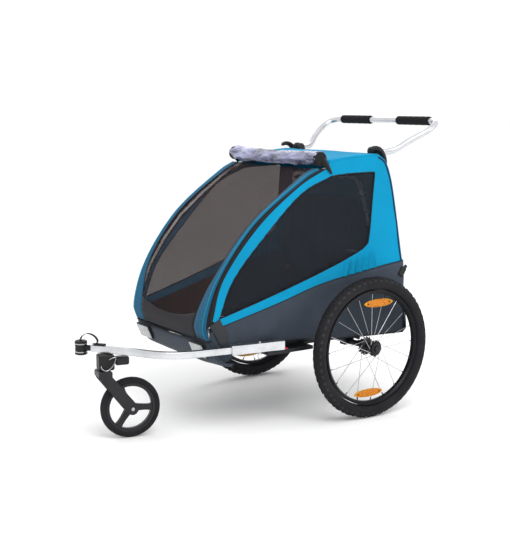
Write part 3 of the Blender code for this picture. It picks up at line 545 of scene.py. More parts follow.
# Side-view curves of the cabin, as (y, z)
LOWER_FRONT = catmull([(-0.505, 0.226), (-0.552, 0.236), (-0.59, 0.292), (-0.598, 0.322)], 5)
SCREEN_LINE = catmull([(-0.5985, 0.3245), (-0.612, 0.385), (-0.56, 0.53), (-0.425, 0.702),
                       (-0.235, 0.839), (-0.166, 0.874)], 8)
ROOF_LINE = catmull([(-0.126, 0.901), (-0.03, 0.914), (0.086, 0.92)], 6)
REAR_LINE = catmull([(0.0875, 0.9185), (0.12, 0.898), (0.144, 0.845), (0.164, 0.76), (0.195, 0.59),
                     (0.205, 0.536)], 5)
CARGO_LINE = catmull([(0.2053, 0.533), (0.2145, 0.385), (0.228, 0.327), (0.236, 0.28), (0.222, 0.266)], 5)
BAND_LINE = catmull([(-0.584, 0.39), (-0.541, 0.525), (-0.408, 0.69), (-0.25, 0.815), (-0.137, 0.873)], 8)
WINDOW_FRONT = catmull([(-0.56, 0.394), (-0.505, 0.52), (-0.385, 0.656), (-0.24, 0.792),
                        (-0.113, 0.849)], 8)
WINDOW_TOP = catmull([(-0.113, 0.849), (-0.04, 0.8545), (0.066, 0.8565)], 5)
WINDOW_REAR = catmull([(0.066, 0.8565), (0.069, 0.845), (0.061, 0.758), (0.053, 0.66), (0.045, 0.606)], 5)
WINDOW_BOTTOM = catmull([(0.045, 0.606), (0.0, 0.576), (-0.16, 0.516), (-0.38, 0.446),
                         (-0.56, 0.394)], 6)
WAIST_LINE = catmull([(-0.584, 0.36), (-0.556, 0.367), (-0.33, 0.426), (-0.15, 0.478), (0.07, 0.515),
                      (0.204, 0.533)], 6)
SKIRT_FRONT = catmull([(-0.545, 0.236), (-0.583, 0.29), (-0.596, 0.34), (-0.584, 0.36)], 4)
SKIRT_HEM = [Vector(p) for p in ((-0.545, 0.236), (-0.515, 0.246), (-0.48, 0.288), (-0.225, 0.288),
                                 (-0.17, 0.274), (-0.05, 0.272), (0.222, 0.266))]
EDGE_ROUND = 0.012  # how far the roof and back turn down into the sides
FRONT_ROUND = 0.005
CABIN_MIDDLE = Vector((-0.15, 0.45))


def ripple(y, z, size, height, seed=0.0):
    return height * noise.noise(Vector((y / size, z / size, seed)))


def on_side(side, spot, out=0.0):
    return Vector((side * (half_width(spot[0]) + out), spot[0], spot[1]))


def inward_at(line, index):
    """The direction into the cabin, square to a side-view line at one of its points."""
    run = (line[min(index + 1, len(line) - 1)] - line[max(index - 1, 0)]).normalized()
    inward = Vector((run.y, -run.x))
    return -inward if inward.dot(CABIN_MIDDLE - line[index]) < 0 else inward


def edge_turn(edge, gap):
    """How far a cloth has turned in at a distance from its edge."""
    return edge - math.sqrt(max(edge**2 - max(edge - gap, 0.0) ** 2, 0.0))


def across(line, rows, columns, edge=EDGE_ROUND, lift=None):
    """A grid across the cabin along a side-view line, with its long edges turned in towards the sides."""
    line = resample(line, rows)
    grid = []
    for index, spot in enumerate(line):
        inward = inward_at(line, index)
        half = half_width(spot.x)
        row = []
        for i in range(columns + 1):
            u = 2 * i / columns - 1
            u = math.copysign(abs(u) ** 0.7, u)
            x = half * u
            depth = edge_turn(edge, half - abs(x)) + (lift(x, index / rows) if lift else 0.0)
            row.append(Vector((x, spot.x + inward.x * depth, spot.y + inward.y * depth)))
        grid.append(row)
    return grid


def edge_line(grid, column):
    return [row[column] for row in grid]


def trim(name, line, width, height, material, slot, folds=True):
    """A narrow raised strip, such as a hem or piping, that follows a line."""
    points, faces = sweep(line, circle(width / 2, 10, height / width))
    obj = mesh_piece(name, points, faces, material, "chassis", slot)
    return folding(obj) if folds else obj


# Cabin

def side_cover(side, word):
    """The blue cover of one side: one cloth with the window cut out of it."""
    outer = [(BAND_LINE, WINDOW_FRONT, 44), (lowered_roof(), WINDOW_TOP, 20),
             (inset_rear(), WINDOW_REAR, 40), (list(reversed(WAIST_LINE[6:])), WINDOW_BOTTOM, 190)]
    columns = 14
    grid = []
    for outside, inside, count in outer:
        for a, b in list(zip(resample(outside, count), resample(inside, count)))[:-1]:
            row = []
            for i in range(columns + 1):
                share = i / columns
                spot = a.lerp(b, share)
                row.append(on_side(side, spot, side_relief(spot, share)))
            grid.append(row)
    if side < 0:
        grid = [list(reversed(row)) for row in grid]
    sheet_piece("side_cover_cloth_" + word, grid, BLUE, "blue_fabric",
                replaces=["side_cover_" + word], close=True)


def lowered_roof():
    corner = [Vector((-0.137, 0.873)), Vector((-0.131, 0.886))]
    return corner + [Vector((p.x, p.y - 0.008)) for p in ROOF_LINE]


def inset_rear():
    return [Vector((p.x - 0.005, p.y - 0.004)) for p in REAR_LINE]


PULLS = ((-0.035, 0.56, 0.25), (-0.012, 0.565, 0.1), (0.012, 0.575, 0.0), (0.036, 0.588, -0.12),
         (0.058, 0.6, -0.22))  # folds that run down from the window's rear corner: y, z and lean


def side_relief(spot, share):
    """How far the cover stands out: puckers at the window seam and folds at its rear corner."""
    seam = 0.0006 * (share ** 4) * math.sin((spot.x * 1.1 + spot.y) / 0.0022)
    slack = ripple(spot.x, spot.y, 0.09, 0.0022, 3.0) * math.sin(math.pi * min(share, 1.0))
    folds = 0.0
    for y, top, lean in PULLS:
        drop = top - spot.y
        if -0.01 < drop < 0.095:
            off = spot.x - (y - lean * drop)
            folds += 0.0095 * math.exp(-((off / 0.0055) ** 2)) * math.sin(math.pi * (drop + 0.01) / 0.105)
    return 0.0012 + seam + slack + folds


def side_window(side, word):
    """The mesh window, held taut by the cover round it."""
    columns, count = 26, 20
    grid = coons(WINDOW_BOTTOM[::-1], WINDOW_TOP, WINDOW_FRONT, WINDOW_REAR[::-1], columns, count)
    rows = []
    for j, row in enumerate(grid):
        sink = 0.004 * math.sin(math.pi * j / count)
        rows.append([on_side(side, p, -0.0012 - sink * math.sin(math.pi * i / columns))
                     for i, p in enumerate(row)])
    sheet_piece("side_window_mesh_" + word, rows, PANE, "mesh_fabric",
                replaces=["side_window_" + word], thickness=MESH_CLOTH)


def window_binding(side, word):
    """Folded tape sewn round the window's edge."""
    loop = [*WINDOW_FRONT[:-1], *WINDOW_TOP[:-1], *WINDOW_REAR[:-1], *WINDOW_BOTTOM[:-1]]
    line = [on_side(side, p, 0.0006) for p in loop]
    points, faces = sweep(line, circle(0.0019, 8), closed=True)
    folding(mesh_piece("window_binding_" + word, points, faces, BLACK_TAPE, "chassis", "mesh_fabric"))


def side_skirt(side, word):
    """The slate skirt below the waist seam, a little slack over the base."""
    columns, count = 44, 14
    rows = []
    for j, row in enumerate(coons(SKIRT_HEM, WAIST_LINE, SKIRT_FRONT, CARGO_LINE[::-1], columns, count)):
        v = j / count
        rows.append([on_side(side, p, 0.001 - 0.012 * (1 - v) ** 2
                             + ripple(p.x, p.y, 0.11, 0.008, 9.0) * math.sin(math.pi * v)
                             + ripple(p.x, p.y, 0.05, 0.002, 4.0) * (1 - v)) for p in row])
    sheet_piece("side_skirt_cloth_" + word, rows, SLATE, "slate_fabric",
                replaces=["side_skirt_" + word])
    trim("skirt_hem_" + word, rows[0], 0.0038, 0.006, BLACK_TAPE, "webbing", folds=False)
    seam = [on_side(side, p, 0.0022) for p in resample(WAIST_LINE[6:], 40)]
    trim("waist_seam_" + word, seam, 0.0022, 0.0022, BLACK_TAPE, "webbing")


def front_tape(side, word):
    """The black zip tape between the blue cover and the front cover's edge."""
    rows, columns = 40, 6
    outer = resample(SCREEN_LINE[4:], rows)
    inner = resample(BAND_LINE, rows)
    grid = []
    for j in range(rows + 1):
        row = []
        for i in range(columns + 1):
            share = i / columns
            spot = inner[j].lerp(outer[j], share)
            row.append(on_side(side, spot, 0.0004 - 0.0085 * share ** 2.5))
        grid.append(row)
    sheet_piece("front_zip_tape_" + word, grid, BLACK_TAPE, "webbing")
    teeth = [on_side(side, inner[j].lerp(outer[j], 0.42), 0.0002) for j in range(rows + 1)]
    trim("front_zip_" + word, teeth, 0.0045, 0.0035, BLACK_PLASTIC, "black_plastic")


BORDER = catmull([(0.0, 0.074), (0.1, 0.066), (0.22, 0.043), (0.34, 0.027), (0.55, 0.022), (0.8, 0.026),
                  (1.0, 0.04)], 6)


def border_width(share):
    """Width of the front cover's blue border at a share of its height."""
    for a, b in zip(BORDER, BORDER[1:]):
        if a.x <= share <= b.x:
            return a.y + (b.y - a.y) * (share - a.x) / (b.x - a.x)
    return BORDER[-1].y


def front_cover():
    """The front cover: see-through mesh between two blue borders, over the front hoop."""
    rows, columns = 36, 28

    def slack(x, share):
        return 0.01 * math.sin(math.pi * share) * (1 - (x / 0.26) ** 2)

    line = resample(SCREEN_LINE, rows)
    full = across(SCREEN_LINE, rows, columns, edge=FRONT_ROUND, lift=slack)
    screen, borders = [], {1: [], -1: []}
    for j in range(rows + 1):
        half = half_width(line[j].x)
        width = border_width(j / rows)
        row = full[j]

        def at(x, row=row):
            for a, b in zip(row, row[1:]):
                if a.x <= x <= b.x:
                    return a.lerp(b, (x - a.x) / (b.x - a.x))
            return row[-1] if x > 0 else row[0]

        inner = half - width
        screen.append([at(-inner + 2 * inner * i / columns) for i in range(columns + 1)])
        for side in (1, -1):
            strip = []
            for i in range(9):
                strip.append(edge_spot(side, half, width * (1 - (i / 8) ** 0.7), line, j, rows, slack))
            borders[side].append(strip)
    sheet_piece("front_screen_mesh", screen, SCREEN, "mesh_fabric",
                replaces=["front_screen"], thickness=MESH_CLOTH)
    for side, word in SIDES:
        # Border in the darker blue: painted shade.
        sheet_piece("front_border_" + word, borders[side], SHADED_BORDER_BLUE, "blue_fabric")
        inner = edge_line(borders[side], 0)
        trim("front_border_seam_" + word, inner, 0.005, 0.003, BLACK_TAPE, "mesh_fabric")
        piping = edge_line(borders[side], 6)
        trim("front_piping_" + word, piping, 0.004, 0.004, PIPING, "blue_fabric")
    kick = []
    for j in range(9):
        row = []
        for i in range(columns + 1):
            x = screen[0][i].x
            reach = rows * (0.085 + 0.075 * (x / 0.25) ** 2) * j / 8
            low, share = int(reach), reach - int(reach)
            spot = screen[low][i].lerp(screen[low + 1][i], share)
            row.append(spot + Vector((0, -0.0012, 0.0)))
        kick.append(row)
    sheet_piece("front_kick_cloth", kick, CHARCOAL, "webbing")


def edge_spot(side, half, gap, line, index, rows, slack):
    """A point of the front cover at a distance from its edge, on the turned-in corner."""
    spot, inward = line[index], inward_at(line, index)
    x = half - gap
    depth = edge_turn(FRONT_ROUND, gap) + slack(x, index / rows) - 0.0006
    return Vector((side * x, spot.x + inward.x * depth, spot.y + inward.y * depth))


def front_panel():
    """The slate panel across the front below the screen, with a black hem and seam."""
    def sag(x, share):
        return ripple(x, share * 0.1, 0.1, 0.004, 6.0) * math.sin(math.pi * share)

    grid = across(LOWER_FRONT, 14, 40, lift=sag)
    for j, row in enumerate(grid):
        for p in row:
            p.z -= 0.012 * (j / 14) * (1 - (p.x / 0.26) ** 2)
    sheet_piece("front_panel_cloth", grid, SLATE, "slate_fabric",
                replaces=["front_panel"], folds=False)
    trim("front_hem", grid[0], 0.005, 0.007, BLACK_TAPE, "webbing", folds=False)
    trim("front_panel_seam", grid[-1], 0.0075, 0.0045, BLACK_TAPE, "webbing", folds=False)


def roof():
    def sag(x, share):
        hollow = 0.006 * math.sin(math.pi * share) * (1 - (x / 0.29) ** 4)
        return hollow + ripple(x, share * 0.2, 0.12, 0.003, 1.0)

    grid = across(ROOF_LINE, 12, 36, lift=sag)
    sheet_piece("roof_cloth", grid, BLUE, "blue_fabric", replaces=["roof_panel"])


def back():
    def sag(x, share):
        return ripple(x, share * 0.5, 0.13, 0.005, 2.0) * math.sin(math.pi * share)

    grid = across(REAR_LINE, 24, 36, lift=sag)
    sheet_piece("back_cloth", grid, BLUE, "blue_fabric", replaces=["back_panel"])
    for side, word, column in ((1, "left", 36), (-1, "right", 0)):
        line = [p + Vector((side * 0.001, 0.0012, 0)) for p in edge_line(grid, column)]
        trim("back_piping_" + word, line, 0.0072, 0.0072, DEEP_BLUE, "blue_fabric")
    cargo = across(CARGO_LINE, 20, 36, lift=sag)
    sheet_piece("cargo_cloth", cargo, SLATE, "slate_fabric", replaces=["cargo_panel"])
    trim("cargo_seam", cargo[0], 0.005, 0.004, BLACK_TAPE, "webbing")


def corner_tab(side, word):
    """The grey plastic tab that hooks the front cover down at each lower corner."""
    centre = Vector((-0.558, 0.35))
    turn = math.radians(29)
    up, over = Vector((-math.sin(turn), math.cos(turn))), Vector((math.cos(turn), math.sin(turn)))
    foot = [math.pi + math.pi * k / 8 for k in range(1, 8)]
    corners = [(0.021, 0.04), (-0.022, 0.04), (-0.02, 0.0), (-0.019, -0.03),
               *[(0.019 * math.cos(t), -0.03 + 0.016 * math.sin(t)) for t in foot],
               (0.019, -0.03), (0.02, 0.0)]
    outline = [centre + over * a + up * b for a, b in corners]
    points = []
    for out, pull in ((0.0022, 1.0), (0.005, 1.0), (0.0062, 0.9)):
        for p in outline:
            points.append(on_side(side, centre + (p - centre) * pull, out))
    faces = capped(points, grid_faces(3, len(outline), close_columns=True), len(outline))
    folding(mesh_piece("corner_tab_" + word, points, faces, TAB_PLASTIC, "chassis", "dark_plastic"))
    lean = Matrix.Rotation(math.radians(-32), 4, "Z")
    clip = [rounded_block(size, facing(on_side(side, spot, out), (side, 0, 0)) @ lean, 0.003)
            for size, spot, out in (((0.024, 0.034, 0.012), (0.198, 0.492), 0.003),
                                    ((0.012, 0.026, 0.008), (0.213, 0.503), 0.001))]
    folding(mesh_piece("rear_clip_" + word, *joined(clip), BLACK_PLASTIC, "chassis", "black_plastic"))


def rain_cover():
    """The clear rain cover rolled up across the front of the roof, with its end discs."""
    centre, size = cad_place("rain_cover_roll")
    radius, half = size.z / 2, size.x / 2
    around, along = 40, 110
    grid = []
    for j in range(along + 1):
        x = -half + 0.004 + (2 * half - 0.008) * j / along
        row = []
        for angle in angles(around):
            c, d = math.cos(angle), math.sin(angle)
            crinkle = (0.0062 * noise.noise(Vector((x / 0.055, 2.1 * c, 2.1 * d)))
                       + 0.003 * noise.noise(Vector((x / 0.018, 4 * c, 4 * d + 7)))
                       - 0.0016 * abs(math.sin(9 * angle + 14 * x)))
            r = (radius + 0.0004) * (0.95 + 0.05 * math.cos(2 * angle + 3 * x)) + crinkle * 0.8
            droop = -0.003 * math.cos(math.pi * x / half / 1.4)
            row.append(centre + Vector((x, r * c, r * d + droop)))
        grid.append(row)
    points = [p for row in grid for p in row]
    faces = capped(points, grid_faces(len(grid), around, close_columns=True), around)
    roll = mesh_piece("rain_cover_rolled", points, faces, VINYL, "chassis", "clear_cover",
                      ["rain_cover_roll"])
    roll.data.set_sharp_from_angle(angle=math.radians(70))
    folding(roll)
    for side, word in SIDES:
        roll_end(side, word, centre, radius, half)


def roll_end(side, word, centre, radius, half):
    """The gathered black end of the roll and the flap that hooks it to the roof."""
    spiral = []
    for k in range(70):
        angle = 0.42 * k
        r = 0.0015 + (radius - 0.005) * k / 69
        spiral.append(centre + Vector((side * (half + 0.0012), r * math.cos(angle), r * math.sin(angle))))
    fold = sweep(spiral, circle(0.0011, 6))
    disc = turned([(0.0003, half + 0.001), (radius * 0.55, half + 0.0018), (radius - 0.004, half + 0.001),
                   (radius - 0.0012, half - 0.003), (radius - 0.0005, half - 0.014), (0.0003, half - 0.014)],
                  36, facing(centre, (side, 0, 0)), False)
    points, faces = joined([disc, fold])
    folding(mesh_piece("roll_end_" + word, points, faces, WEBBING, "chassis", "webbing"))
    start = on_side(side, (centre.y - 0.002, centre.z + 0.006), -0.004)
    stop = on_side(side, (centre.y + 0.04, centre.z - 0.052), 0.004)
    rows = []
    for k in range(11):
        t = k / 10
        spot = start.lerp(stop, t) + Vector((side * 0.004 * math.sin(math.pi * t), 0, 0))
        wide = 0.0125 * (1 - t) ** 0.8 + 0.0022
        run = Vector((0, 0.81, 0.59))
        rows.append([spot - run * wide, spot + Vector((side * 0.0022, 0, 0)), spot + run * wide])
    sheet_piece("roll_flap_" + word, rows, WEBBING, "webbing", thickness=0.0018)


# Seats

def cushion(name, node, tufts, crown, size, angle, flat):
    """A crowned pad at its CAD solid's centre, with sewn channels, tilted by angle; flat or standing."""
    centre = cad_place(node)[0]
    turn = Matrix.Rotation(angle, 4, "X")
    columns, rows = 36, 28
    points = []
    for face in (1, -1):
        for j in range(rows + 1):
            for i in range(columns + 1):
                u, v = 2 * i / columns - 1, 2 * j / rows - 1
                pull = 0.05 * (1 - abs(u) ** 4) * abs(v) ** 6, 0.04 * (1 - abs(v) ** 4) * abs(u) ** 6
                a = size[0] / 2 * u * (1 - pull[1])
                b = size[1] / 2 * v * (1 - pull[0])
                body = (max(1 - u**6, 0.0) * max(1 - v**6, 0.0)) ** 0.38
                channel = sum(math.exp(-((v - t) / 0.035) ** 2) for t in tufts) * 0.45
                seam = math.exp(-(u / 0.02) ** 2) * 0.55
                dome = 1 - crown + crown * (1 - u * u) * (1 - v * v)
                thick = size[2] / 2 * body * dome * (1 - min(channel + seam, 0.7))
                wrinkle = 0.0012 * noise.noise(Vector((a / 0.03, b / 0.03, face + 5.0))) * body
                c = face * (thick + 0.0012) + wrinkle * face
                local = Vector((a, b, c)) if flat else Vector((a, -c, b))
                points.append(centre + turn @ local)
    count = columns + 1
    top = grid_faces(rows + 1, count)
    shift = (rows + 1) * count
    faces = top + [tuple(reversed([k + shift for k in face])) for face in top]
    rim = ([i for i in range(count)] + [j * count + columns for j in range(1, rows + 1)]
           + [rows * count + i for i in reversed(range(columns))]
           + [j * count for j in reversed(range(1, rows))])
    faces += [(a, a + shift, b + shift, b) for a, b in zip(rim, rim[1:] + rim[:1])]
    pad = mesh_piece(name, points, faces, NAVY, "chassis", "navy_fabric", [node])
    seams = set(rim)
    for j in range(rows + 1):
        for i in range(count):
            u, v = 2 * i / columns - 1, 2 * j / rows - 1
            if abs(u) < 0.02 or min(abs(v - t) for t in tufts) < 1 / rows:
                seams.add(j * count + i)
    puffed(pad, sorted(seams | {k + shift for k in seams}))
    folding(pad)


def puffed(pad, seams, pressure=4.0, frames=20, most=0.007):
    """Blow a pad up between its sewn seams with a short cloth simulation, and keep the result."""
    held = pad.vertex_groups.new(name="seams")
    held.add(seams, 1.0, "REPLACE")
    sim = pad.modifiers.new("stuffing", "CLOTH")
    cloth = sim.settings
    cloth.quality = 6
    cloth.mass = 0.3
    cloth.tension_stiffness = cloth.compression_stiffness = 15
    cloth.bending_stiffness = 0.5
    cloth.vertex_group_mass = held.name
    cloth.use_pressure = True
    cloth.uniform_pressure_force = pressure
    cloth.effector_weights.gravity = 0
    sim.point_cache.frame_start, sim.point_cache.frame_end = 1, frames
    scene = bpy.context.scene
    for frame_number in range(1, frames + 1):
        scene.frame_set(frame_number)
    blown = pad.evaluated_get(bpy.context.evaluated_depsgraph_get()).data
    places = [spot.co.copy() for spot in blown.vertices]
    pad.modifiers.remove(sim)
    pad.vertex_groups.remove(held)
    for spot, place in zip(pad.data.vertices, places):
        move = place - spot.co
        spot.co += move * min(1.0, most / move.length) if move.length > 0 else move
    scene.frame_set(1)


def harness(word):
    """Two shoulder straps with pads, two lap straps, a crotch strap and a buckle."""
    centre, size = cad_place("harness_" + word)
    recline = math.radians(8)
    parts = []
    run = Vector((0, math.sin(recline), math.cos(recline)))
    half = (size.z - 0.008) / 2 / math.cos(recline)

    def strap(across_start, across_end, start, end, width):
        line = []
        for k in range(13):
            t = k / 12
            bulge = Vector((0, -0.004 * math.sin(math.pi * t), 0))
            line.append(centre + run * (half * (start + (end - start) * t))
                        + Vector((across_start + (across_end - across_start) * t, 0, 0)) + bulge)
        return sweep(line, rounded_box(width, 0.0022, 0.0008, 2))

    for way in (1, -1):
        parts.append(strap(way * 0.045, way * 0.02, 0.96, -0.55, 0.02))
        parts.append(strap(way * 0.05, way * 0.012, -0.92, -0.62, 0.02))
    parts.append(strap(0.0, 0.0, -0.96, -0.66, 0.022))
    folding(mesh_piece("harness_straps_" + word, *joined(parts), WEBBING, "chassis", "webbing",
                       ["harness_" + word]))
    pads = [strap(way * 0.044, way * 0.03, 0.72, 0.05, 0.034) for way in (1, -1)]
    folding(mesh_piece("harness_pads_" + word, *joined(pads), NAVY, "chassis", "webbing"))
    for name, size, out, corner, material in (("buckle", (0.042, 0.036, 0.011), 0.007, 0.004, BLACK_PLASTIC),
                                              ("button", (0.016, 0.013, 0.005), 0.014, 0.002, RED_PLASTIC)):
        spot = centre - run * half * 0.62 + Vector((0, -out, 0))
        shape = rounded_block(size, facing(spot, (0, -1, 0.14)), corner)
        folding(mesh_piece("harness_" + name + "_" + word, *shape, material, "chassis", "black_plastic"))


# Wheels

SPOKES = 20
SPOKE_REACH = 0.189
HUB_FLANGES = (0.34, 0.3835)
FLANGE_RADIUS = 0.029
BRAKE_TEETH = 16
TREAD_BLOCKS = 60  # in each row


def wheel_axis(side):
    """A wheel's centre, with Z out along its axle."""
    return facing(Vector((side * WHEEL_X, 0, WHEEL_RADIUS)), (side, 0, 0))


def tyre(side, word):
    """Tyre with three rows of tread blocks and a worn row on each shoulder."""
    body = word + "_wheel"
    axis = wheel_axis(side)
    depth = 0.0026
    ring = WHEEL_RADIUS - TYRE_SECTION
    profile = []
    for i, angle in enumerate(angles(28)):
        rib = 0.0007 if i % 7 == 3 else 0.0
        r = TYRE_SECTION - depth + rib
        profile.append((ring + r * math.cos(angle), (r + 0.8 * depth) * math.sin(angle)))
    parts = [turned(profile, 120, axis)]
    shoulders = []
    rows = ((0, 0.0095, 0.012, 0.28, 0.0, parts), (34, 0.0085, 0.014, 0.0, 0.5, parts),
            (-34, 0.0085, 0.014, 0.0, 0.5, parts), (60, 0.0085, 0.0125, 0.0, 0.0, shoulders),
            (-60, 0.0085, 0.0125, 0.0, 0.0, shoulders))
    for lean, width, length, skew, shift, into in rows:
        for i in range(TREAD_BLOCKS):
            angle = 2 * math.pi * (i + shift) / TREAD_BLOCKS
            into.append(tread_block(axis, ring, math.radians(lean), angle, width, length,
                                    skew * (1 if i % 2 else -1), depth))
    mesh_piece("tyre_tread_" + word, *joined(parts), RUBBER, body, "tyre", ["tyre_" + word])
    mesh_piece("tyre_shoulder_blocks_" + word, *joined(shoulders), WORN_RUBBER, body, "tyre")


def tread_block(axis, ring, lean, angle, width, length, skew, depth):
    """One block of tread at an angle round the wheel and a lean round the section."""
    out = Vector((math.cos(lean), 0, math.sin(lean)))
    over = Vector((-math.sin(lean), 0, math.cos(lean)))
    turn = Matrix.Rotation(angle, 4, "Z")
    points = []
    for lift, share in ((-0.002, 1.0), (depth - 0.0006, 0.94), (depth - 0.0001, 0.82)):
        for a, b in ((1, 1), (-1, 1), (-1, -1), (1, -1)):
            spot = (Vector((ring, 0, 0)) + out * (TYRE_SECTION - depth + lift)
                    + over * (a * width / 2 * share)
                    + Vector((0, 1, 0)) * (length / 2 * b * share + a * skew * width))
            points.append(axis @ turn @ spot)
    return points, [*grid_faces(3, 4, close_columns=True), (8, 9, 10, 11)]


def rim(side, word):
    """Deep-section rim with its spoke nipples."""
    axis = wheel_axis(side)
    size = cad_place("rim_" + word)[1]
    outer, half = size.z / 2, size.x / 2
    inner = outer - 0.0118
    profile = [(outer + 0.0015, half - 0.001), (outer, -half + 0.001), (outer - 0.004, -half),
               (inner + 0.003, -0.0095), (inner, -0.0055), (inner - 0.0006, 0.0), (inner, 0.0055),
               (inner + 0.003, 0.0095),
               (outer - 0.004, half)]
    parts = [turned(profile, 96, axis)]
    for i, angle in enumerate(angles(SPOKES)):
        out = Vector((math.cos(angle), math.sin(angle), 0))
        root = axis @ (out * (inner + 0.0005))
        tip = axis @ (out * (inner - 0.01) + Vector((0, 0, 0.0014 * (1 if i % 2 else -1))))
        parts.append(sweep([root, tip], circle(0.0019, 8), [1.0, 0.75]))
    mesh_piece("rim_black_" + word, *joined(parts), RIM_BLACK, word + "_wheel", "black_plastic",
               ["rim_" + word])


def hub(side, word):
    """Black hub with its toothed brake ring; the laced spokes are one piece of steel wires."""
    low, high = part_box("hub_" + word)
    axis = wheel_axis(side)
    ends = sorted(abs(x) for x in (low.x, high.x))
    inner, outer = ends[0] - WHEEL_X, ends[1] - WHEEL_X
    flange = [x - WHEEL_X for x in HUB_FLANGES]
    profile = [(0.0118, outer), (0.018, outer), (0.0208, outer - 0.002), (0.0212, flange[1] + 0.006),
               (0.019, flange[1] + 0.003), (FLANGE_RADIUS - 0.002, flange[1] + 0.0022),
               (FLANGE_RADIUS, flange[1]), (FLANGE_RADIUS - 0.002, flange[1] - 0.0022),
               (0.0165, flange[1] - 0.007), (0.0155, 0.0), (0.0165, flange[0] + 0.007),
               (FLANGE_RADIUS - 0.002, flange[0] + 0.0022), (FLANGE_RADIUS, flange[0]),
               (FLANGE_RADIUS - 0.002, flange[0] - 0.0022), (0.0225, flange[0] - 0.004), (0.0225, inner),
               (0.0068, inner), (0.0068, outer - 0.0085), (0.0118, outer - 0.0085)]
    parts = [turned(profile, 48, axis)]
    for i in range(BRAKE_TEETH):
        angle = 2 * math.pi * (i + 0.5) / BRAKE_TEETH
        tooth = Matrix.Rotation(angle, 4, "Z") @ Matrix.Translation((0.0284, 0, inner + 0.0041))
        parts.append(rounded_block((0.0088, 0.0044, 0.0075), axis @ tooth, 0.001))
    parts.append(turned([(0.018, inner + 0.0005), (0.0258, inner + 0.0005), (0.0258, inner + 0.0078),
                         (0.018, inner + 0.0078)], 48, axis))
    for angle in angles(12):
        groove = Matrix.Rotation(angle, 4, "Z") @ Matrix.Translation((0.0209, 0, outer - 0.006))
        parts.append(rounded_block((0.0018, 0.004, 0.0085), axis @ groove, 0.0006))
    mesh_piece("hub_shell_" + word, *joined(parts), BLACK_PLASTIC, word + "_wheel", "black_plastic",
               ["hub_" + word])
    wires = []
    for i, rim_angle in enumerate(angles(SPOKES)):
        far = i % 2
        along = flange[far]
        lean = math.radians(50) * (1 if far else -1)
        root = FLANGE_RADIUS - 0.004
        start = Vector((root * math.cos(rim_angle + lean), root * math.sin(rim_angle + lean), along + 0.0026))
        head = start + Vector((0, 0, -0.0052))
        end = Vector((SPOKE_REACH * math.cos(rim_angle), SPOKE_REACH * math.sin(rim_angle), 0.12 * along))
        line = [axis @ head, axis @ start, axis @ (start + (end - start) * 0.04), axis @ end]
        wires.append(sweep(line, circle(0.00105, 6)))
    mesh_piece("spoke_wires_" + word, *joined(wires), BRIGHT_STEEL, word + "_wheel", "silver",
               ["spokes_" + word])
    button_low, button_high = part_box("hub_button_" + word)
    tip = max(abs(button_low.x), abs(button_high.x)) - WHEEL_X
    cap = [(0.0107, outer - 0.004), (0.0107, tip - 0.0028), (0.0095, tip - 0.0006), (0.007, tip),
           (0.006, tip - 0.0008), (0.0002, tip - 0.001)]
    mesh_piece("hub_cap_" + word, *turned(cap, 32, axis, False), GREY_PLASTIC, word + "_hub_button",
               "dark_plastic", ["hub_button_" + word])


def wheel_reflector(side, word, level):
    """A spindle-shaped amber reflector with a raised rim and two screws."""
    node = "wheel_reflector_" + level + "_" + word
    centre, size = cad_place(node)
    length, height, half = size.y, size.z, size.x / 2
    steps = 40

    def outline(share):
        points = []
        for angle in angles(steps):
            a = math.copysign(abs(math.cos(angle)) ** 0.82, math.cos(angle)) * length / 2 * share
            b = math.copysign(abs(math.sin(angle)) ** 1.25, math.sin(angle)) * height / 2 * share ** 0.6
            points.append((a, b))
        return points

    def layer(share, out):
        return [centre + Vector((side * out, a, b)) for a, b in outline(share)]

    rim_layers = [layer(0.93, -half), layer(1.0, -half + 0.002), layer(1.0, half - 0.0015), layer(0.96, half),
                  layer(0.9, half), layer(0.88, half - 0.0016)]
    points = [p for rows in rim_layers for p in rows]
    faces = grid_faces(len(rim_layers), steps, close_columns=True)
    faces.append(tuple(reversed(range(steps))))
    body = word + "_wheel"
    mesh_piece("reflector_rim_" + level + "_" + word, points, faces, AMBER_RIM, body, "amber", [node])
    face_layers = [layer(0.885, half - 0.0016), layer(0.8, half - 0.0006), layer(0.4, half - 0.0002)]
    face_points = [p for rows in face_layers for p in rows]
    face_points.append(centre + Vector((side * (half - 0.0001), 0, 0)))
    last = (len(face_layers) - 1) * steps
    face_faces = grid_faces(len(face_layers), steps, close_columns=True)
    face_faces += [(last + k, last + (k + 1) % steps, last + steps) for k in range(steps)]
    mesh_piece("reflector_face_" + level + "_" + word, face_points, face_faces, AMBER, body, "amber")
    screws = []
    for way in (1, -1):
        spot = centre + Vector((side * (half - 0.0012), way * length * 0.37, 0))
        screws.append(turned([(0.0002, 0.0018), (0.0024, 0.0016), (0.0033, 0.0006), (0.0034, -0.001)], 16,
                             facing(spot, (side, 0, 0)), False))
    mesh_piece("reflector_screws_" + level + "_" + word, *joined(screws), BLACK_PLASTIC, body, "amber")


# Frame, handle and tow arm

PUSH_BAR_LEG = [(0.234, 0.131, 0.92), (0.253, 0.189, 0.93), (0.283, 0.238, 0.964),
                (0.309, 0.29, 0.995), (0.305, 0.33, 1.0195), (0.272, 0.352, 1.0285), (0.22, 0.356, 1.03)]
HANDLE_PIVOT = (0.2218, 0.114, 0.925)


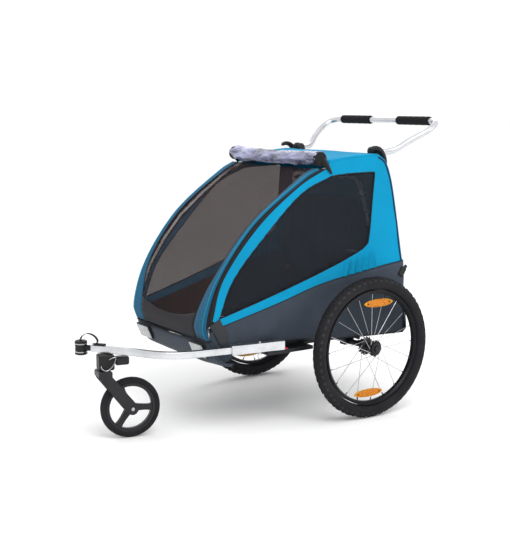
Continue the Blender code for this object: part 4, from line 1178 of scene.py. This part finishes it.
def push_bar():
    """Bent tube with a collar at each leg's foot, which sits in a black swivelling eye."""
    leg = catmull(PUSH_BAR_LEG, 8)
    route = [(-p.x, p.y, p.z) for p in leg] + [tuple(p) for p in reversed(leg)]
    parts = [sweep(route, circle(0.011, 20))]
    ends = []
    for side in (1, -1):
        foot = [Vector((side * p.x, p.y, p.z)) for p in leg]
        parts.append(sweep(foot[1:9], circle(0.013, 20), [0.97, 1, 1, 1, 1, 1, 1, 0.97]))
        hinge = Vector((side * HANDLE_PIVOT[0], *HANDLE_PIVOT[1:]))
        ends.append(turned([(0.013, 0.0), (0.016, 0.001), (0.0172, 0.005), (0.0172, 0.018), (0.015, 0.0225),
                            (0.006, 0.024), (0.0002, 0.0242)], 32, facing(hinge, (side, 0, 0)), False))
        shroud = [hinge + Vector((side * 0.0105, 0, 0)), foot[0], foot[1]]
        ends.append(sweep(shroud, circle(0.0152, 20), [0.8, 1.0, 0.95]))
    mesh_piece("push_bar_tube", *joined(parts), ALUMINIUM, "push_bar", "silver", ["push_bar"])
    mesh_piece("push_bar_eyes", *joined(ends), BLACK_PLASTIC, "push_bar", "silver")


def grip(word):
    """A ribbed foam sleeve on the push bar."""
    centre, size = cad_place("grip_" + word)
    half, radius = size.x / 2, size.z / 2
    profile = [(0.0113, -half + 0.0006), (radius - 0.0028, -half), (radius - 0.0008, -half + 0.002),
               (radius, -half + 0.006)]
    for k in range(1, 10):
        profile.append((radius - 0.0006 * (k % 2), -half + 0.006 + (2 * half - 0.012) * k / 10))
    profile += [(radius, half - 0.006), (radius - 0.0008, half - 0.002), (radius - 0.0028, half),
                (0.0113, half - 0.0006)]
    points, faces = turned(profile, 32, facing(centre, (1, 0, 0)))
    mesh_piece("grip_foam_" + word, points, faces, FOAM, "push_bar", "foam", ["grip_" + word])


def handle_mount(side, word):
    """The domed black saddle over the roof's rear corner that the push bar tilts in."""
    centre, size = cad_place("handle_mount_" + word)
    radius, half = size.z / 2, size.x / 2
    boss = turned([(0.0002, -half), (radius - 0.003, -half), (radius, -half + 0.003), (radius, half - 0.003),
                   (radius - 0.003, half), (0.0002, half)], 40, facing(centre, (side, 0, 0)), False)
    path = catmull([(0.064, 0.933), (0.072, 0.937), (0.086, 0.939), (0.104, 0.932), (0.119, 0.915),
                    (0.129, 0.895), (0.133, 0.878)], 4)
    swell = [0.45 + 0.55 * math.sin(math.pi * (0.06 + 0.88 * k / (len(path) - 1))) for k in range(len(path))]
    line = [Vector((side * 0.2665, p.x, p.y)) for p in path]
    saddle = sweep(line, rounded_box(0.024, 0.016, 0.0065), swell)
    mesh_piece("handle_joint_" + word, *joined([boss, saddle]), BLACK_PLASTIC, "front_hoop", "black_plastic",
               ["handle_mount_" + word])


def bevelled(node, width, material):
    """A carried-over CAD node with softened edges and its own material."""
    obj = frame["nodes"][node]
    weld = obj.modifiers.new("weld", "WELD")
    weld.merge_threshold = 0.00001
    edge = obj.modifiers.new("edges", "BEVEL")
    edge.width = width
    edge.segments = 3
    edge.limit_method = "ANGLE"
    edge.angle_limit = math.radians(35)
    edge.use_clamp_overlap = True
    painted(node, material)


def painted(node, material):
    obj = frame["nodes"][node]
    if not obj.material_slots:
        obj.data.materials.append(material)
    for held in obj.material_slots:
        held.link = "OBJECT"
        held.material = material


ARM_Z = 0.291
RECEIVER_REAR = Vector((0.301, -0.335, ARM_Z))
RECEIVER_FRONT = Vector((0.275, -0.53, ARM_Z))


def tow_arm():
    """Square tube with round corners, the receiver's collar and its red release button."""
    heading = (RECEIVER_FRONT - RECEIVER_REAR).normalized()
    bend = catmull([(0.26, -0.63, ARM_Z), (0.253, -0.692, 0.292), (0.233, -0.745, 0.294),
                    (0.198, -0.785, 0.296), (0.154, -0.817, 0.298), (0.076, -0.876, 0.3),
                    (0.0285, -0.911, 0.3005)], 6)
    line = [RECEIVER_FRONT - heading * 0.115, RECEIVER_FRONT + heading * 0.02, *bend]
    points, faces = sweep(line, rounded_box(0.0225, 0.0225, 0.003))
    mesh_piece("tow_arm_tube", points, faces, ALUMINIUM, "tow_arm", "silver", ["tow_arm"])
    collar = [RECEIVER_FRONT - heading * back for back in (0.052, 0.0505, 0.0015, 0.0)]
    ring = sweep(collar, rounded_box(0.0322, 0.0322, 0.0032), [0.985, 1.0, 1.0, 0.985])
    mesh_piece("receiver_collar", *ring, ALUMINIUM, "chassis", "silver")
    spot = RECEIVER_REAR + Vector((-0.004, 0.01, -0.016))
    button = rounded_block((0.02, 0.014, 0.007), facing(spot, (0, 0, -1)), 0.002)
    mesh_piece("receiver_button", *button, RED_PLASTIC, "chassis", "dark_plastic")


def hitch():
    """The elastomer hitch head with its steel rings, and the safety strap that arches to the arm."""
    end = Vector((-0.004, -0.936, 0.3005))
    axis = facing(end, (0, 0, 1))
    half = 0.0235
    profile = [(0.0062, -half), (0.0175, -half), (0.0205, -half + 0.002), (0.0208, -half + 0.008)]
    for k in range(1, 6):
        profile.append((0.0185 if k % 2 else 0.0205, -half + 0.008 + 0.0055 * k))
    profile += [(0.0208, half - 0.008), (0.0205, half - 0.002), (0.0175, half), (0.0062, half)]
    parts = [turned(profile, 40, axis)]
    neck = [Vector((0.0262, -0.9128, 0.3005)), Vector((0.013, -0.923, 0.3005)), end]
    parts.append(sweep(neck, circle(0.0088, 16)))
    for k in range(3):
        spot = neck[0].lerp(end, 0.18 + 0.16 * k)
        parts.append(turned([(0.008, -0.0016), (0.0099, -0.001), (0.0099, 0.001), (0.008, 0.0016)], 20,
                            facing(spot, end - neck[0])))
    mesh_piece("hitch_head", *joined(parts), BLACK_PLASTIC, "hitch", "black_plastic", ["hitch_coupling"])
    section = ((0.02, -0.0022), (0.021, -0.0015), (0.021, 0.0015), (0.02, 0.0022))
    rings = [turned([(r, z + dz) for r, dz in section], 40, axis) for z in (-0.0135, 0.0135)]
    mesh_piece("hitch_rings", *joined(rings), BRIGHT_STEEL, "hitch", "silver")
    path = catmull([(0.0, 0.3265), (0.008, 0.339), (0.024, 0.348), (0.042, 0.347), (0.056, 0.339),
                    (0.064, 0.327), (0.06, 0.319), (0.044, 0.315)], 6)
    heading = Vector((0.801, 0.598, 0.0))
    start = Vector((-0.006, -0.9375, 0.0))
    line = [start + heading * p.x + Vector((0, 0, p.y)) for p in path]
    points, faces = sweep(line, rounded_box(0.0125, 0.0018, 0.0006, 2))
    strap = mesh_piece("hitch_strap_webbing", points, faces, WEBBING, "tow_arm", "webbing", ["hitch_strap"])
    strap.parent = None
    del strap["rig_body"]
    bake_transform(strap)
    seat = facing(Vector((0.05, -0.894, 0.315)), (0, 0, 1), (-0.598, 0.801, 0))
    base = rounded_block((0.04, 0.016, 0.006), seat, 0.002)
    mesh_piece("hitch_strap_clip", *base, BLACK_PLASTIC, "tow_arm", "black_plastic")


CAST_PIECES = (("tow_receiver", 0.0012, ALUMINIUM), ("receiver_bracket", 0.002, DARK_FRAME),
               ("caster_bracket", 0.004, BLACK_PLASTIC), ("caster_lever", 0.004, GREY_PLASTIC),
               ("caster_fork", 0.0016, GREY_PLASTIC), ("brake_pedal", 0.002, BLACK_PLASTIC))


def carried_over():
    """CAD nodes whose shape is right keep it, with softer edges and real materials."""
    for node, width, material in CAST_PIECES:
        bevelled(node, width, material)
    for node in ("side_rail_left", "side_rail_right", "front_crossbar", "rear_crossbar", "axle_tube"):
        painted(node, DARK_FRAME)
    for node in ("arm_pin", "brake_pin_left", "brake_pin_right", "front_hoop", "rear_hoop"):
        painted(node, ALUMINIUM)
    painted("wire_bail", BRIGHT_STEEL)
    painted("floor_panel", SLATE)


def caster_wheel():
    """Foam-filled front tyre and the three-spoke moulded rim, with its hub cap and axle bolt."""
    centre, size = cad_place("caster_tyre")
    outer = size.z / 2
    yaw = math.radians(-11.8)
    axis_line = Vector((math.cos(yaw), math.sin(yaw), 0))
    axis = facing(centre, axis_line)
    half = 0.016
    profile = [(0.0826, -half + 0.003), (0.085, -half + 0.0008), (0.0905, -half), (0.096, -half + 0.0022),
               (0.0992, -half + 0.0055), (0.1008, -0.0062), (outer, -0.003), (outer - 0.0008, 0.0),
               (outer, 0.003), (0.1008, 0.0062), (0.0992, half - 0.0055), (0.096, half - 0.0022),
               (0.0905, half),
               (0.085, half - 0.0008), (0.0826, half - 0.003)]
    mesh_piece("caster_tread", *turned(profile, 96, axis), RUBBER, "caster_wheel", "tyre", ["caster_tyre"])
    hoop = [(0.0824, -0.013), (0.079, -0.0136), (0.074, -0.0125), (0.0725, -0.01), (0.0722, 0.0),
            (0.0725, 0.01), (0.074, 0.0125), (0.079, 0.0136), (0.0824, 0.013)]
    parts = [turned(hoop, 96, axis)]
    hub_profile = [(0.0048, -0.0245), (0.015, -0.0245), (0.017, -0.023), (0.018, -0.013), (0.0195, 0.0),
                   (0.018, 0.013), (0.017, 0.023), (0.015, 0.0245), (0.0048, 0.0245)]
    parts.append(turned(hub_profile, 40, axis))
    for i in range(3):
        angle = math.radians(-5 + 120 * i)
        out = Vector((0, math.cos(angle), math.sin(angle)))
        out = Matrix.Rotation(yaw, 3, "Z") @ out
        line = [centre + out * r for r in (0.014, 0.03, 0.045, 0.06, 0.0745)]
        sizes = [(0.024, 0.021), (0.021, 0.0185), (0.019, 0.017), (0.019, 0.0175), (0.023, 0.02)]
        parts.append(sweep_facing(line, axis_line, sizes))
    mesh_piece("caster_wheel_rim", *joined(parts), GREY_PLASTIC, "caster_wheel", "dark_plastic",
               ["caster_rim"])
    for way, word in SIDES:
        spot = centre + axis_line * (way * 0.0335)
        bolt = turned([(0.0002, 0.0034), (0.004, 0.0032), (0.0058, 0.002), (0.006, -0.001)], 24,
                      facing(spot, axis_line * way), False)
        mesh_piece("caster_bolt_" + word, *bolt, BRIGHT_STEEL, "caster_fork", "silver")


def sweep_facing(line, wide_axis, sizes):
    """A bar along a line, with its (width across the line, depth along the wide axis) at each point."""
    points = []
    heading = (line[-1] - line[0]).normalized()
    across_line = heading.cross(wide_axis).normalized()
    for spot, (width, depth) in zip(line, sizes):
        points += [spot + across_line * a + wide_axis * b for a, b in rounded_box(width, depth, 0.0022, 3)]
    count = len(points) // len(line)
    return points, capped(points, grid_faces(len(line), count, close_columns=True), count)


def front_reflector(word):
    """Clear prismatic reflector in a black bezel on the front panel."""
    node = "front_reflector_" + word
    centre = cad_place(node)[0]
    tilt = math.radians(24)
    out = Vector((0, -math.cos(tilt), -math.sin(tilt)))
    place = facing(centre, out)
    back = rounded_block((0.086, 0.056, 0.008), place @ Matrix.Translation((0, 0, -0.001)), 0.0035)
    mesh_piece("reflector_bezel_" + word, *back, BLACK_PLASTIC, "chassis", "reflector_white", [node])
    face = rounded_block((0.079, 0.049, 0.006), place @ Matrix.Translation((0, 0, 0.0025)), 0.0028)
    mesh_piece("reflector_lens_" + word, *face, CLEAR_PRISMS, "chassis", "reflector_white")


# Stage

def area_light(name, place, target, size, power):
    data = bpy.data.lights.new(name, "AREA")
    data.shape = "RECTANGLE"
    data.size, data.size_y = size
    data.energy = power
    obj = bpy.data.objects.new(name, data)
    obj.location = place
    obj.rotation_euler = (Vector(target) - Vector(place)).to_track_quat("-Z", "Y").to_euler()
    bpy.context.scene.collection.objects.link(obj)


def stage():
    """Plain pale floor, soft studio light and the camera."""
    mesh = bpy.data.meshes.new("studio_floor")
    reach = 40.0
    corners = [(-reach, -reach, 0), (reach, -reach, 0), (reach, reach, 0), (-reach, reach, 0)]
    mesh.from_pydata(corners, [], [(0, 1, 2, 3)])
    floor = bpy.data.objects.new("studio_floor", mesh)
    bpy.context.scene.collection.objects.link(floor)
    made, tree, shader = shader_of("studio_white", (0.92, 0.92, 0.92), 0.9, Specular_IOR_Level=0.1)
    drift = noise_of(tree, place_of(tree), 2.0)
    tree.links.new(blend_colours(tree, drift, (0.91, 0.91, 0.91), (0.93, 0.93, 0.93)),
                   shader.inputs["Base Color"])
    mesh.materials.append(made)
    world = bpy.data.worlds.new("studio")
    world.use_nodes = True
    sky = world.node_tree.nodes["Background"]
    sky.inputs["Color"].default_value = (1.0, 1.0, 1.0, 1.0)
    sky.inputs["Strength"].default_value = 1.12
    bpy.context.scene.world = world
    target = (0.0, 0.0, 0.45)
    area_light("key", (2.2, -0.6, 3.0), target, (2.0, 2.0), 55)
    area_light("fill", (3.2, 2.2, 1.2), target, (1.6, 1.6), 12)
    area_light("rim", (-1.6, 2.4, 2.2), target, (1.4, 1.4), 20)
    bpy.context.scene.view_settings.view_transform = "Standard"

    data = bpy.data.cameras.new("camera")
    data.sensor_width = 36.0
    data.lens = CAMERA_LENS
    data.clip_start, data.clip_end = 0.05, 200.0
    camera = bpy.data.objects.new("camera", data)
    camera.location = CAMERA_PLACE + Vector((0, AXLE_Y, 0))
    camera.rotation_euler = (CAMERA_TARGET - CAMERA_PLACE).to_track_quat("-Z", "Y").to_euler()
    bpy.context.scene.collection.objects.link(camera)
    bpy.context.scene.camera = camera


def build():
    for side, word in SIDES:
        side_cover(side, word)
        side_window(side, word)
        window_binding(side, word)
        side_skirt(side, word)
        front_tape(side, word)
        corner_tab(side, word)
        harness(word)
        tyre(side, word)
        rim(side, word)
        hub(side, word)
        for level in ("upper", "lower"):
            wheel_reflector(side, word, level)
        grip(word)
        handle_mount(side, word)
        front_reflector(word)
    front_cover()
    front_panel()
    roof()
    back()
    rain_cover()
    cushion("seat_base_pad", "seat_base", (-0.4, 0.1, 0.55), 0.35, (0.37, 0.3, 0.045),
            math.radians(-6), True)
    cushion("seat_back_pad", "seat_back", (-0.6, -0.2, 0.2, 0.6), 0.3, (0.4, 0.4, 0.03),
            math.radians(-8), False)
    push_bar()
    tow_arm()
    hitch()
    caster_wheel()
    carried_over()
    stage()


build()
